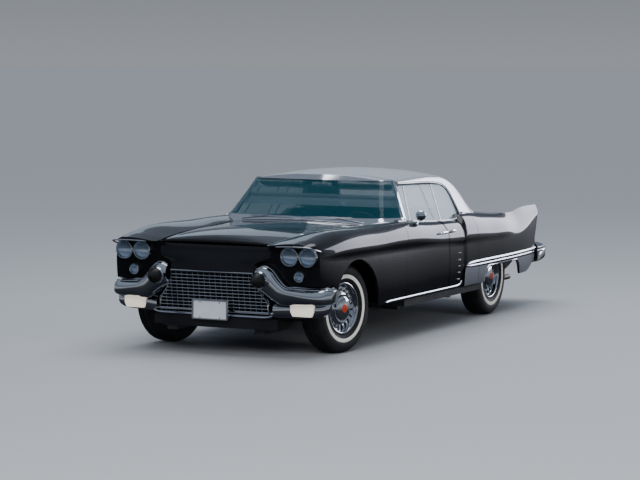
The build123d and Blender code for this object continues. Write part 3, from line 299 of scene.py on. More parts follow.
def rounding(start, end, share):
    """Height of an arc over its chord, where a share of 1 makes the arc level at its upper end."""
    run = abs(end[0] - start[0])
    rise = abs(end[1] - start[1])
    return share * math.hypot(run, rise) / 2 * math.tan(math.atan2(rise, run) / 2)


def arc(start, end, bulge, count):
    """Points from start up to, but without, end on an arc that stands out to its right."""
    run = Vector(end) - Vector(start)
    way = run.normalized()
    out = Vector((way.y, -way.x)) * (1 if bulge >= 0 else -1)
    height = max(abs(bulge), 1e-4)
    radius = (run.length**2 / 4 + height**2) / (2 * height)
    centre = (Vector(start) + Vector(end)) / 2 + out * (height - radius)
    half = math.asin(min(run.length / 2 / radius, 1))
    if height > run.length / 2:
        half = math.pi - half
    points = []
    for k in range(count):
        turn = half * (2 * k / count - 1)
        points.append(centre + (out * math.cos(turn) + way * math.sin(turn)) * radius)
    return points


ARC_STEPS = 14


def side_ring(row, inset=0.0, drop=0.0):
    """Closed ring of (x, z) points round a body side."""
    sill = (row.sill_x - inset, row.sill_z - drop)
    crease = (row.crease_x - inset, row.crease_z - inset / 3)
    crest = (row.crest_x - inset / 2, row.crest_z - inset)
    inner = (row.inner_x + inset, row.inner_z - inset)
    foot = (row.inner_x + inset, row.sill_z - drop)
    points = [Vector(foot)]
    points += arc(sill, crease, row.belly, ARC_STEPS)
    points += arc(crease, crest, rounding(crease, crest, row.shoulder), ARC_STEPS)
    points += arc(crest, inner, rounding(inner, crest, row.valley) + 1, ARC_STEPS)
    points.append(Vector(inner))
    return points


def mesh_object(name, points, faces):
    """Object of plain points, in metres, and faces."""
    mesh = bpy.data.meshes.new(name)
    mesh.from_pydata([tuple(p) for p in points], [], faces)
    mesh.validate()
    made = bpy.data.objects.new(name, mesh)
    bpy.context.scene.collection.objects.link(made)
    return made


def ring_faces(rings, base=0, closed=True, looped=False):
    """Faces through rings of points numbered from a base; the ends are capped unless they meet."""
    count = len(rings[0])
    faces = []
    for r in range(len(rings) if looped else len(rings) - 1):
        a, b = base + r * count, base + (r + 1) % len(rings) * count
        for k in range(count if closed else count - 1):
            n = (k + 1) % count
            faces.append((a + k, a + n, b + n, b + k))
    if not looped:
        faces.append(tuple(base + k for k in reversed(range(count))))
        faces.append(tuple(base + (len(rings) - 1) * count + k for k in range(count)))
    return faces


def skinned(name, rings, **ends):
    """Surface through rings of points."""
    return mesh_object(name, [p for ring in rings for p in ring], ring_faces(rings, **ends))


def steps(low, high, pitch):
    """Even places from low to high, about a pitch apart."""
    count = max(1, round((high - low) / pitch))
    return [low + (high - low) * k / count for k in range(count + 1)]


def section_at(points, y, side=1):
    """Section across the car from (x, z) points in millimetres."""
    return [Vector((side * p.x, y, p.y)) * MM for p in points]


def plan_at(points, z):
    """Plan at one height from (x, y) points in millimetres."""
    return [Vector((p.x, p.y, z)) * MM for p in points]


RING_PITCH = 45


def flank(rows, low_y, high_y, inset=0.0, drop=0.0, side=1):
    """Body side as a solid block between two places along the car."""
    places = steps(low_y, high_y, RING_PITCH)
    return skinned("flank", [section_at(side_ring(row_at(rows, y), inset, drop), y, side) for y in places])


def prism(points, low_x, high_x):
    """Side view outline in (y, z) millimetres, carried across the car."""
    rings = [[Vector((x, y, z)) * MM for y, z in points] for x in (low_x, high_x)]
    return skinned("prism", rings)


def block(low, high):
    """Box between two corners."""
    (x0, y0, z0), (x1, y1, z1) = low, high
    return prism([(y0, z0), (y1, z0), (y1, z1), (y0, z1)], x0, x1)


def about(centre, turn, radius, angle, along):
    """Point round an axis, from millimetres to metres."""
    spot = Vector((radius * math.cos(angle), radius * math.sin(angle), along))
    return (Vector(centre) + turn @ spot) * MM


def disc(centre, way, radius, depth, count=64):
    """Round block from a centre along a way, in millimetres."""
    turn = Vector(way).to_track_quat("Z", "Y")
    angles = [math.tau * k / count for k in range(count)]
    return skinned("disc", [[about(centre, turn, radius, a, z) for a in angles] for z in (0, depth)])


def settle(piece, weld=0.0):
    """Faces of a piece all turned outward, points closer than the weld made one."""
    work = bmesh.new()
    work.from_mesh(piece.data)
    if weld:
        bmesh.ops.remove_doubles(work, verts=work.verts, dist=weld)
    bmesh.ops.recalc_face_normals(work, faces=work.faces)
    work.to_mesh(piece.data)
    work.free()
    return piece


def carve(piece, tool, operation="DIFFERENCE"):
    """Cut a piece by a tool, which is used up."""
    settle(piece)
    settle(tool)
    cut = piece.modifiers.new("cut", "BOOLEAN")
    cut.operation = operation
    cut.solver = "MANIFOLD"
    cut.object = tool
    shaped = piece.evaluated_get(bpy.context.evaluated_depsgraph_get())
    mesh = bpy.data.meshes.new_from_object(shaped)
    piece.modifiers.clear()
    piece.data = mesh
    bpy.data.objects.remove(tool)
    return piece


def smooth(piece, angle=32):
    """Smooth shading that breaks at edges sharper than an angle."""
    piece.data.shade_smooth()
    piece.data.set_sharp_from_angle(angle=math.radians(angle))
    return piece


def dress(piece, name, body, slot, finish, *replaced, angle=32):
    """Name a finished piece, give it its finish and tie it to its body."""
    piece.name = name
    piece.data.name = name
    piece.data.materials.clear()
    piece.data.materials.append(finish.material)
    smooth(piece, angle)
    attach(piece, body)
    if replaced:
        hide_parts(*replaced)
    return piece


def mirrored(piece, name):
    """The same piece for the other side of the car."""
    mesh = piece.data.copy()
    mesh.transform(Matrix.Scale(-1, 4, (1, 0, 0)))
    mesh.flip_normals()
    other = bpy.data.objects.new(name, mesh)
    bpy.context.scene.collection.objects.link(other)
    return other


def dress_sides(piece, stem, body, slot, finish, replaced=(), angle=32):
    """A left piece and its mirror image; words ending in an underscore take the side's name."""
    for name, made in (("left", piece), ("right", mirrored(piece, stem))):
        side_body = body + name if body.endswith("_") else body
        taken = [word + name for word in replaced]
        dress(made, f"{stem}_{name}_skin", side_body, slot, finish, *taken, angle=angle)


black_paint = Finish(
    "black_enamel", (0.004, 0.004, 0.005), 0.22, drift=(0.16, 0.28, 6),
    shades=((0.0035, 0.0035, 0.0045), (0.006, 0.006, 0.0075), 1.5), grain=(420, 2, 0.02, 0.0004),
    coat_weight=1.0, coat_roughness=0.02, coat_ior=1.42, specular_ior_level=0.05,
)

BELT_TOP_Z = 1060
BELOW_DOOR_Z = DOOR_FOOT_Z - 20
BESIDE_X = 1100
ROUND = 96
FENDER_OUTLINE = [
    (-2612, BELT_TOP_Z), (-2612, 912), (-2500, 906), (-2486, 590), (-2300, 590),
    (-2240, DOOR_FOOT_Z), (SHUT_FRONT_Y - HALF_GAP, DOOR_FOOT_Z),
    (SHUT_FRONT_Y - HALF_GAP, SHUT_BREAK_Z), (SHUT_BELT_Y - HALF_GAP, BELT_TOP_Z),
]
Lamp = namedtuple("Lamp", "x y z lens ring")
LAMPS = [
    Lamp(836, -2526, 826, 68, 80),
    Lamp(674, -2522, 826, 68, 80),
    Lamp(752, -2512, 668, 34, 45),
]
FRONT_OPENING_RADIUS = 402
WELL_RADIUS = 436
core = flank(FRONT_FLANK, -2611.9, -760, SKIN, 300)
fender = carve(flank(FRONT_FLANK, -2612, -780), core)
lamp_panel = flank(FRONT_FLANK, -2560, -2400)
carve(lamp_panel, block((400, -2521, 560), (1000, -2460, 1000)), "INTERSECT")
carve(fender, lamp_panel, "UNION")
carve(fender, block((396, -2511, 590), (510, -2491, 790)), "UNION")
carve(fender, prism(FENDER_OUTLINE, 390, BESIDE_X), "INTERSECT")
carve(fender, disc((760, FRONT_AXLE_Y, AXLE_Z), (1, 0, 0), FRONT_OPENING_RADIUS, 400, ROUND))
carve(fender, disc((400, FRONT_AXLE_Y, AXLE_Z), (1, 0, 0), WELL_RADIUS, 360, ROUND))
for lamp in LAMPS:
    carve(fender, disc((lamp.x, -2560, lamp.z), (0, 1, 0), lamp.ring + 0.3, 160))
carve(fender, block((600, -1011, 300), (799, -700, 932)))
dress_sides(fender, "fender", "car_body", "body_black", black_paint, ["fender_"])

FRONT_DOOR_OUTLINE = [
    (SHUT_FRONT_Y + HALF_GAP, BELOW_DOOR_Z), (SHUT_FRONT_Y + HALF_GAP, SHUT_BREAK_Z),
    (SHUT_BELT_Y + HALF_GAP, BELT_TOP_Z), (SHUT_MIDDLE_Y - HALF_GAP, BELT_TOP_Z),
    (SHUT_MIDDLE_Y - HALF_GAP, BELOW_DOOR_Z),
]
REAR_DOOR_OUTLINE = [
    (SHUT_MIDDLE_Y + HALF_GAP, BELOW_DOOR_Z), (SHUT_MIDDLE_Y + HALF_GAP, BELT_TOP_Z),
    (SHUT_REAR_Y - HALF_GAP, BELT_TOP_Z), (SHUT_REAR_Y - HALF_GAP, BELOW_DOOR_Z),
]
BULGE_OUTLINE = [
    (BULGE_Y, BELOW_DOOR_Z), (BULGE_Y - 12, 720), (BULGE_Y + 12, 860), (BULGE_Y + 60, 940),
    (BULGE_Y + 130, BELT_TOP_Z), (BULGE_Y + 1000, BELT_TOP_Z), (BULGE_Y + 1000, BELOW_DOOR_Z),
]
GLASS = 5
SEAT_GAP = 0.3
GlassLine = namedtuple("GlassLine", "y foot_x foot_z head_x head_z")
GLASS_LINES = [GlassLine(-760, 842, 940, 676, 1320), GlassLine(760, 842, 940, 664, 1320)]


def glass_wall(spread):
    """Leaning slab that holds the door glasses."""
    rings = []
    for line in GLASS_LINES:
        corners = [
            (line.foot_x + spread, line.foot_z),
            (line.head_x + spread, line.head_z),
            (line.head_x - GLASS - spread, line.head_z),
            (line.foot_x - GLASS - spread, line.foot_z),
        ]
        rings.append([Vector((x, line.y, z)) * MM for x, z in corners])
    return skinned("glass_wall", rings)


def meeting_wedge(face_y, depth):
    """Bevel on a door's meeting face."""
    plan = [(1010, face_y), (DOOR_INNER_X - 20, face_y), (DOOR_INNER_X - 20, face_y + depth)]
    return skinned("wedge", [[Vector((x, y, z)) * MM for x, y in plan] for z in (0, 1100)])


front_door = flank(FRONT_FLANK, -960, 80)
carve(front_door, prism(FRONT_DOOR_OUTLINE, DOOR_INNER_X, BESIDE_X), "INTERSECT")
carve(front_door, meeting_wedge(SHUT_MIDDLE_Y - HALF_GAP, -20))
carve(front_door, glass_wall(SEAT_GAP))
dress_sides(front_door, "door_front", "door_front_", "body_black", black_paint, ["door_front_"])

BULGE_RUN = 84


def bulge_ring(y):
    """Rear door section, which swells from the front flank's shape to the rear's behind a curved edge."""
    ahead = side_ring(row_at(FRONT_FLANK, min(y, FRONT_FLANK[-1].y)))
    behind = side_ring(row_at(REAR_FLANK, max(y, REAR_FLANK[0].y)))
    ring = []
    for p, q in zip(ahead, behind):
        edge = BULGE_OUTLINE[0][0]
        for (y0, z0), (y1, z1) in zip(BULGE_OUTLINE[:5], BULGE_OUTLINE[1:5]):
            if z0 <= p.y <= z1:
                edge = y0 + (y1 - y0) * (p.y - z0) / (z1 - z0)
        t = min(1, max(0, (y - edge + 10) / BULGE_RUN))
        ring.append(p.lerp(q, t * t * (3 - 2 * t)))
    return section_at(ring, y)


bulge_places = steps(20, 320, 45) + steps(326, 560, 7) + steps(590, 740, 30)
rear_door = skinned("rear_door", [bulge_ring(y) for y in bulge_places])
carve(rear_door, prism(REAR_DOOR_OUTLINE, DOOR_INNER_X, BESIDE_X), "INTERSECT")
carve(rear_door, meeting_wedge(SHUT_MIDDLE_Y + HALF_GAP, 32))
carve(rear_door, glass_wall(SEAT_GAP))
dress_sides(rear_door, "door_rear", "door_rear_", "body_black", black_paint, ["door_rear_"])

QUARTER_OUTLINE = [
    (SHUT_REAR_Y + HALF_GAP, DOOR_FOOT_Z), (SHUT_REAR_Y + HALF_GAP, BELT_TOP_Z), (2540, BELT_TOP_Z),
    (2540, 968), (2430, 800), (2330, 664), (2330, 430), (2230, 380), (2160, DOOR_FOOT_Z),
]
QUARTER_CAP = [
    (2540, BELT_TOP_Z), (2540, 968), (2430, 800), (2330, 664), (2330, 300), (2306, 300),
    (2306, 672), (2404, 808), (2506, 968), (2506, BELT_TOP_Z),
]
REAR_OPENING = [(796, 292), (896, 500), (1740, 500), (1830, 292)]
OPENING_CORNER = 130


def bend(corners, radius, count):
    """Points round the middle one of three corners."""
    before, corner, after = [Vector(p) for p in corners]
    into = (corner - before).normalized()
    away = (after - corner).normalized()
    reach = radius / math.tan((math.pi - into.angle(away)) / 2)
    start, end = corner - into * reach, corner + away * reach
    shares = [k / count for k in range(count + 1)]
    return [start.lerp(corner, t).lerp(corner.lerp(end, t), t) for t in shares]


def rounded(points, radius, count=10):
    """Outline with its corners rounded; the first and last corners stay."""
    threes = zip(points, points[1:], points[2:])
    middle = [tuple(p) for corners in threes for p in bend(corners, radius, count)]
    return [points[0], *middle, points[-1]]


quarter = carve(flank(REAR_FLANK, 660, 2560), flank(REAR_FLANK, 640, 2559.9, SKIN, 300))
cap = carve(flank(REAR_FLANK, 2280, 2560), prism(QUARTER_CAP, 600, BESIDE_X), "INTERSECT")
carve(quarter, cap, "UNION")
carve(quarter, prism(QUARTER_OUTLINE, 600, BESIDE_X), "INTERSECT")
carve(quarter, prism(rounded(REAR_OPENING, OPENING_CORNER), 780, 1180))
carve(quarter, disc((600, REAR_AXLE_Y, AXLE_Z), (1, 0, 0), WELL_RADIUS - 30, 300, ROUND))
dress_sides(quarter, "quarter", "car_body", "body_black", black_paint, ["quarter_"])

# Hood, trunk lid and the nose between the lamps: single pressings with rolled front edges, crowned
# across the car and shut on the fenders with an even gap.
Rise = namedtuple("Rise", "y rise")
LID_SKIN = 22
LID_PITCH = 36
COWL_FRONT_Y = -1070
DECK_FRONT_Y = 1160
LID_BACK_Y = 2400
HOOD_RISE = [
    Rise(-2496, 10), Rise(-2450, 26), Rise(-2300, 36), Rise(-2050, 42), Rise(-1700, 42),
    Rise(-1380, 38), Rise(COWL_FRONT_Y - PANEL_GAP, 33),
]
TRUNK_RISE = [
    Rise(DECK_FRONT_Y, 34), Rise(1420, 40), Rise(1800, 38), Rise(2100, 34), Rise(2300, 26),
    Rise(LID_BACK_Y, 14),
]


def lid_ring(rows, rises, y, drop=0.0, ahead=0.0, thin=0.0):
    """Section of a lid between the fenders; dropped, moved ahead and thinned where its edge is rolled."""
    edge = row_at(rows, y)
    half = edge.inner_x - PANEL_GAP
    rise = row_at(rises, y).rise
    top = edge.inner_z - drop
    foot = edge.inner_z - LID_SKIN + thin
    points = arc((half, top), (-half, top), rise, 28)
    points += arc((-half, foot), (half, foot), -rise, 28)
    return section_at(points, y - ahead)


hood_rings = [
    lid_ring(FRONT_FLANK, HOOD_RISE, -2496, 15, 9, 4),
    lid_ring(FRONT_FLANK, HOOD_RISE, -2496, 8, 7.5, 1),
    lid_ring(FRONT_FLANK, HOOD_RISE, -2496, 2.5, 4),
]
hood_places = steps(-2494, COWL_FRONT_Y - PANEL_GAP, LID_PITCH)
hood_rings += [lid_ring(FRONT_FLANK, HOOD_RISE, y) for y in hood_places]
hood = settle(skinned("hood", hood_rings))
dress(hood, "hood_skin", "hood", "body_black", black_paint, "hood", angle=40)

LID_FACE_HALF = 694
LID_FACE = [
    (LID_BACK_Y - 2, 884), (LID_BACK_Y + 44, 640), (LID_BACK_Y + 44 - LID_SKIN, 640),
    (LID_BACK_Y - 2 - LID_SKIN, 850),
]
trunk_rings = [lid_ring(REAR_FLANK, TRUNK_RISE, y) for y in steps(DECK_FRONT_Y, LID_BACK_Y, LID_PITCH)]
trunk = carve(skinned("trunk", trunk_rings), prism(LID_FACE, -LID_FACE_HALF, LID_FACE_HALF), "UNION")
dress(trunk, "trunk_skin", "trunk_lid", "body_black", black_paint, "trunk_lid", angle=40)

Nose = namedtuple("Nose", "z half edge_y middle_y")
NOSE_FOOT_Z = 690.5
NOSE_TOP_Z = 894
NOSE = [
    Nose(NOSE_FOOT_Z, 384, -2556, -2590),
    Nose(750, 394, -2541, -2574),
    Nose(790, 484, -2528, -2560),
    Nose(850, 501, -2512, -2540),
    Nose(884, 503, -2505, -2532),
    Nose(NOSE_TOP_Z, 503, -2500, -2524),
]
nose_rings = []
for z in steps(NOSE_FOOT_Z, NOSE_TOP_Z, 14):
    row = row_at(NOSE, z)
    plan = arc((-row.half, row.edge_y), (row.half, row.edge_y), row.edge_y - row.middle_y, 24)
    back_y = row.edge_y + SKIN
    plan += arc((row.half, back_y), (-row.half, back_y), row.middle_y - row.edge_y, 24)
    nose_rings.append(plan_at(plan, z))
nose = settle(skinned("nose", nose_rings))
dress(nose, "nose_skin", "car_body", "body_black", black_paint, "nose_panel", angle=40)

# Roof: one brushed stainless pressing over the cabin, bare metal with its grain running along the
# car, cut away for the wrapped windshield, the side windows and the backlight.
Arch = namedtuple("Arch", "y foot_x edge_x edge_z crown_z corner")
ROOF = [
    Arch(-700, 858, 690, 1322, 1376, 60),
    Arch(-300, 858, 686, 1336, 1402, 60),
    Arch(100, 858, 678, 1344, 1410, 60),
    Arch(420, 857, 668, 1338, 1398, 60),
    Arch(620, 856, 666, 1318, 1374, 60),
    Arch(780, 854, 680, 1258, 1318, 55),
    Arch(880, 846, 716, 1166, 1236, 50),
    Arch(970, 828, 754, 1060, 1130, 40),
    Arch(1060, 806, 780, 985, 1036, 20),
]
ROOF_FOOT_Z = 948
ROOF_FRONT_Y = -700
ROOF_END_Y = 1060
PAST = 0.5
SPAN = 1000
OVER_ROOF_Z = 1500
ROOF_PITCH = 30
ROOF_SKIN = 26


def roof_ring(row, inset=0.0):
    """Closed (x, z) ring across the car: legs, rounded eaves and crown."""
    foot_z = ROOF_FOOT_Z - inset
    foot = Vector((row.foot_x - inset, foot_z))
    edge = Vector((row.edge_x - inset, row.edge_z - inset))
    crown = arc(tuple(edge), (-edge.x, edge.y), row.crown_z - row.edge_z, 40)
    leg = (foot - edge).normalized()
    along = (crown[1] - crown[0]).normalized()
    half = (leg.angle(along)) / 2
    reach = row.corner / math.tan(half)
    start = edge + leg * reach
    first = next(k for k, p in enumerate(crown) if (p - edge).length > reach)
    end = crown[first]
    side = [foot, foot.lerp(start, 0.33), foot.lerp(start, 0.66)]
    for k in range(9):
        t = k / 8
        side.append(start.lerp(edge, t).lerp(edge.lerp(end, t), t))
    middle = arc(tuple(end), (-end.x, end.y), row.crown_z - inset - end.y, 24)[1:]
    return side + middle + [Vector((-p.x, p.y)) for p in reversed(side)]


def roof_body(inset=0.0, past=0.0):
    """The roof with all that is under it; past its ends where it cuts another."""
    places = steps(ROOF_FRONT_Y - past, ROOF_END_Y + past, ROOF_PITCH)
    return skinned("roof", [section_at(roof_ring(row_at(ROOF, y), inset), y) for y in places])


SCREEN_FOOT_Z = 1012
SCREEN_TOP_Z = 1400
SCREEN_PITCH = 40
Screen = namedtuple("Screen", "z middle_y corner_x corner_y end_x end_y wrap")
SCREEN = [
    Screen(SCREEN_FOOT_Z, -1002, 630, -920, 826, -600, 76),
    Screen(SCREEN_TOP_Z, -600, 500, -568, 638, -474, 18),
]


def screen_ring(row, inset=0.0):
    """Plan outline behind the windshield at one height."""
    left = (-row.corner_x + inset / 2, row.corner_y + inset)
    corner = (row.corner_x - inset / 2, row.corner_y + inset)
    end = (row.end_x - inset, row.end_y)
    points = arc(left, corner, row.corner_y - row.middle_y, 28)
    points += arc(corner, end, row.wrap, 16)
    points.append(Vector(end))
    far = [Vector((-p.x, p.y)) for p in reversed(points[29:])]
    return points + far


def screen_body(inset=0.0, low_z=SCREEN_FOOT_Z, high_z=SCREEN_TOP_Z):
    """The windshield with all that is behind it, up to a height."""
    rings = []
    for z in steps(low_z, high_z, SCREEN_PITCH):
        share = (z - SCREEN[0].z) / (SCREEN[1].z - SCREEN[0].z)
        row = Screen(*[a + (b - a) * share for a, b in zip(*SCREEN)])
        rings.append(plan_at(screen_ring(row, inset), z))
    return skinned("screen", rings)


FRAME_OUT = 8
FRAME_IN = 18
SCREEN_OPENING = [(-1100, 1030), (-640, 1030), (-510, 1336), (-1100, 1336)]
SCREEN_GLASS = [(-1100, 1022), (-632, 1022), (-502, 1346), (-1100, 1346)]
SIDE_OPENING = [
    (-1000, 900), (-1000, 1308), (-440, 1308), (30, 1298), (200, 1292), (400, 1276), (508, 1254),
    (568, 1212), (596, 1146), (604, 1060), (608, 1004), (700, 1004), (700, 900),
]
BACKLIGHT = [(-560, 990), (560, 990), (470, 1290), (-470, 1290)]
BACKLIGHT_CORNER = 60
BACKLIGHT_DEPTH = 10


def ring_of(points, radius, count=8):
    """Closed outline with all its corners rounded."""
    closed = [points[-1], *points, points[0]]
    return [p for corners in zip(closed, closed[1:], closed[2:]) for p in bend(corners, radius, count)]


def backlight_block():
    """Block that cuts the backlight's opening."""
    outline = ring_of(BACKLIGHT, BACKLIGHT_CORNER)
    return skinned("backlight_block", [section_at(outline, y) for y in (740, 1300)])


roof_steel = Finish(
    "brushed_stainless", (0.72, 0.73, 0.75), 0.3, drift=(0.2, 0.42, 90, (12, 0.6, 12)),
    shades=((0.66, 0.67, 0.69), (0.78, 0.79, 0.81), 160, (14, 0.4, 14)),
    grain=(260, 2, 0.06, 0.0006, (10, 0.3, 10)), metallic=0.8,
)


def ahead_of_screen(back_y, inset):
    """Block of all that lies ahead of the windshield, up to a line across the roof."""
    cutter = block((-SPAN, -1200, 900), (SPAN, back_y, OVER_ROOF_Z))
    return carve(cutter, screen_body(inset, 890, OVER_ROOF_Z + 10))


roof = carve(roof_body(), roof_body(ROOF_SKIN, PAST))
carve(roof, ahead_of_screen(-470, FRAME_IN))
carve(roof, prism(SIDE_OPENING, -SPAN, SPAN))
carve(roof, backlight_block())
for side in (1, -1):
    carve(roof, flank(FRONT_FLANK, -960, FRONT_FLANK[-1].y, side=side))
    carve(roof, flank(REAR_FLANK, REAR_FLANK[0].y, 1300, side=side))
dress(roof, "roof_skin", "car_body", "roof_steel", roof_steel, "roof", angle=30)

# Glass: laminated windshield and backlight tinted teal, and flat door glasses in a pale blue-grey that is a
# painted reflection of the sky; all clear to look through square on and more like a mirror at a glance.
tinted_glass = Finish("tinted_glass", (0.012, 0.10, 0.14), 0.02, specular_ior_level=0.6)
tinted_glass.wire("Alpha", tinted_glass.edge_on(0.35) * 0.3 + 0.16 + tinted_glass.noise(3) * 0.02)
tinted_glass.wire("Roughness", tinted_glass.noise(14) * 0.03 + 0.01)

windshield = carve(screen_body(0), screen_body(GLASS + 1, SCREEN_FOOT_Z - PAST, SCREEN_TOP_Z + PAST))
carve(windshield, prism(SCREEN_GLASS, -SPAN, SPAN), "INTERSECT")
dress(windshield, "windshield_pane", "car_body", "glass", tinted_glass, "windshield")
backlight = carve(roof_body(BACKLIGHT_DEPTH), roof_body(BACKLIGHT_DEPTH + GLASS, PAST))
carve(backlight, backlight_block(), "INTERSECT")
dress(backlight, "backlight_pane", "car_body", "glass", tinted_glass, "backlight")

# Windshield surround: polished stainless channel along the header and the posts, with a skirt on the
# cowl that meets the fenders.
chrome = Finish(
    "polished_chrome", (0.86, 0.87, 0.89), 0.06, drift=(0.035, 0.09, 9),
    shades=((0.82, 0.83, 0.85), (0.9, 0.91, 0.93), 4), metallic=1.0,
)


def plate(piece, name, *replaced, body="car_body", angle=50):
    """Dress a piece in chrome."""
    dress(piece, name, body, "chrome", chrome, *replaced, angle=angle)


def plate_sides(piece, stem, body="car_body", angle=50):
    """Dress a left piece and its mirror image in chrome."""
    dress_sides(piece, stem, body, "chrome", chrome, angle=angle)


over_roof = carve(block((-SPAN, -690, 1300), (SPAN, -400, OVER_ROOF_Z)), roof_body())
surround = carve(screen_body(-FRAME_OUT), screen_body(FRAME_IN, SCREEN_FOOT_Z - PAST, SCREEN_TOP_Z + PAST))
carve(surround, over_roof)
skirt = carve(
    screen_body(-FRAME_OUT, SCREEN_FOOT_Z - 50, SCREEN_FOOT_Z + 0.2),
    screen_body(FRAME_IN, SCREEN_FOOT_Z - 51, SCREEN_FOOT_Z + 1),
)
carve(skirt, block((-SPAN, -1100, 900), (SPAN, SHUT_BELT_Y - HALF_GAP, 1100)), "INTERSECT")
for side in (1, -1):
    carve(skirt, flank(FRONT_FLANK, -1300, -700, side=side))
carve(surround, skirt, "UNION")
carve(surround, prism(SCREEN_OPENING, -SPAN, SPAN))
pane_seat = carve(screen_body(-0.2), screen_body(GLASS + 1.2, SCREEN_FOOT_Z - PAST, SCREEN_TOP_Z + PAST))
carve(pane_seat, prism(SCREEN_GLASS, -SPAN, SPAN), "INTERSECT")
carve(surround, pane_seat)
plate(surround, "windshield_surround", "windshield_frame", angle=32)

# Grille: die-cast egg crate on a leaning plane, its level bars proud of the uprights, with a bright
# rail round it and the whole chromed as one, over a flat black sheet that is painted shade.
GRILLE_TOP_Y = -2574
GRILLE_TOP_Z = 686
GRILLE_LEAN = math.radians(8)
GRILLE_DEPTH = 30
GRILLE_PITCH_X = 51
GRILLE_PITCH_Z = 28
GRILLE_HALF = [(374, 0), (384, -60), (430, -150), (492, -230), (500, -330)]


def on_grille(x, z, out=0.0):
    """Point on the grille's leaning face; z runs down it and out stands off it."""
    y = GRILLE_TOP_Y - z * math.sin(GRILLE_LEAN) - out * math.cos(GRILLE_LEAN)
    return Vector((x, y, GRILLE_TOP_Z + z * math.cos(GRILLE_LEAN) - out * math.sin(GRILLE_LEAN))) * MM


def reach_at(z, margin=0.0):
    """Half width of the grille at a level."""
    for (x0, z0), (x1, z1) in zip(GRILLE_HALF, GRILLE_HALF[1:]):
        if z0 >= z >= z1:
            return x0 + (x1 - x0) * (z0 - z) / (z0 - z1) - margin
    return GRILLE_HALF[-1][0] - margin


def top_at(x):
    """Highest level at which the grille is as wide as x."""
    for (x0, z0), (x1, z1) in zip(GRILLE_HALF, GRILLE_HALF[1:]):
        if x0 <= abs(x) <= x1:
            return z0 + (z1 - z0) * (abs(x) - x0) / (x1 - x0)
    return 0


def slat(ends, wide, front, level_bar):
    """Bar with a rounded front edge between two places on the grille's face."""
    section = [(-wide / 2, -GRILLE_DEPTH), (-wide / 2, front - 3), (-wide / 4, front - 0.8), (0, front)]
    section += [(wide / 4, front - 0.8), (wide / 2, front - 3), (wide / 2, -GRILLE_DEPTH)]
    dx, dz = (0, 1) if level_bar else (1, 0)
    return [[on_grille(x + w * dx, z + w * dz, out) for w, out in section] for x, z in ends]


def gathered(name, pieces):
    """One mesh from many short closed skins."""
    points = []
    faces = []
    for rings in pieces:
        faces += ring_faces(rings, len(points))
        points += [p for ring in rings for p in ring]
    return settle(mesh_object(name, points, faces))


RAIL = [(12, -GRILLE_DEPTH), (12, 1), (6.5, 5), (1, 1), (1, -GRILLE_DEPTH)]
bars = []
for k in range(11):
    z = (k - 5.5) * GRILLE_PITCH_Z - 165
    reach = reach_at(z, 4)
    bars.append(slat(((-reach, z), (reach, z)), 8, 1, True))
for k in range(-9, 10):
    if k:
        x = k * GRILLE_PITCH_X - math.copysign(GRILLE_PITCH_X / 2, k)
        bars.append(slat(((x, top_at(x) - 3), (x, -326)), 6, -3, False))
bars.append(slat(((-374, -6), (374, -6)), 16, 5, True))
bars.append(slat(((-498, -323), (498, -323)), 16, 5, True))
for side in (1, -1):
    bars.append([[on_grille(side * (x - w), z, out) for w, out in RAIL] for x, z in GRILLE_HALF])
plate(gathered("grille_bars", bars), "grille_bars", "grille")
# A flat black sheet close behind the grille: painted shade for the dark seen through the egg crate.
behind = Finish("black_duct", (0.004, 0.004, 0.005), 0.7, drift=(0.6, 0.85, 30))
shade_sheet_points = [on_grille(x, z, -GRILLE_DEPTH - 26) for x, z in GRILLE_HALF]
shade_sheet_points += [on_grille(-x, z, -GRILLE_DEPTH - 26) for x, z in reversed(GRILLE_HALF)]
shade_sheet_back = [p + Vector((0, 0.004, 0)) for p in shade_sheet_points]
dress(gathered("duct", [[shade_sheet_points, shade_sheet_back]]), "grille_screen", "car_body", "frame_steel", behind)

# Front bumper: heavy pressed and chromed wings that wrap the corners, rise over a bullet on each
# side and carry the lamp pods below, with black rubber noses on the bullets.
Wing = namedtuple("Wing", "x front back top nose low")
FRONT_WING = [
    Wing(404, -2606, -2546, 720, 640, 560),
    Wing(470, -2620, -2510, 748, 640, 520),
    Wing(540, -2616, -2506, 716, 610, 470),
    Wing(600, -2606, -2506, 640, 560, 440),
    Wing(660, -2598, -2506, 588, 540, 434),
    Wing(700, -2590, -2440, 584, 530, 430),
    Wing(850, -2560, -2380, 580, 505, 430),
    Wing(950, -2500, -2316, 578, 494, 436),
    Wing(990, -2400, -2280, 560, 494, 460),
]
FRONT_POD = [
    Wing(530, -2530, -2440, 452, 390, 328),
    Wing(640, -2484, -2410, 452, 395, 326),
    Wing(761, -2466, -2392, 452, 400, 328),
    Wing(880, -2460, -2386, 452, 400, 338),
    Wing(940, -2438, -2370, 450, 405, 362),
    Wing(966, -2396, -2346, 450, 415, 392),
]


def blade_spot(row, share, out=0.0):
    """Place round a blade's section: its top at 1, its nose at 0 and its foot at -1."""
    a = math.pi / 2 * share
    height = (row.top if share >= 0 else row.low) - row.nose
    y = row.back + (row.front - row.back) * max(math.cos(a), 0) ** 0.75
    z = row.nose + height * max(abs(math.sin(a)), 0) ** 0.75
    away = Vector((0, (y - row.back) / abs(row.front - row.back), math.sin(a)))
    return Vector((row.x, y, z)) + away.normalized() * out


def blade_ring(row):
    """Rounded section of a bumper blade, flat behind, fullest at its nose."""
    return [blade_spot(row, 1 - k / 12) * MM for k in range(25)]


def blade(rows, low_x, high_x, pitch=8):
    """Blade between two places across the car."""
    return skinned("blade", [blade_ring(row_at(rows, x)) for x in steps(low_x, high_x, pitch)])


def turned(name, profile, centre, way, count=64):
    """Surface turned about an axis; the profile is (distance along, radius) in millimetres."""
    turn = Vector(way).to_track_quat("Z", "Y")
    angles = [math.tau * k / count for k in range(count)]
    rings = [[about(centre, turn, r, a, z) for z, r in profile] for a in angles]
    return settle(skinned(name, rings, closed=False, looped=True), weld=1e-6)


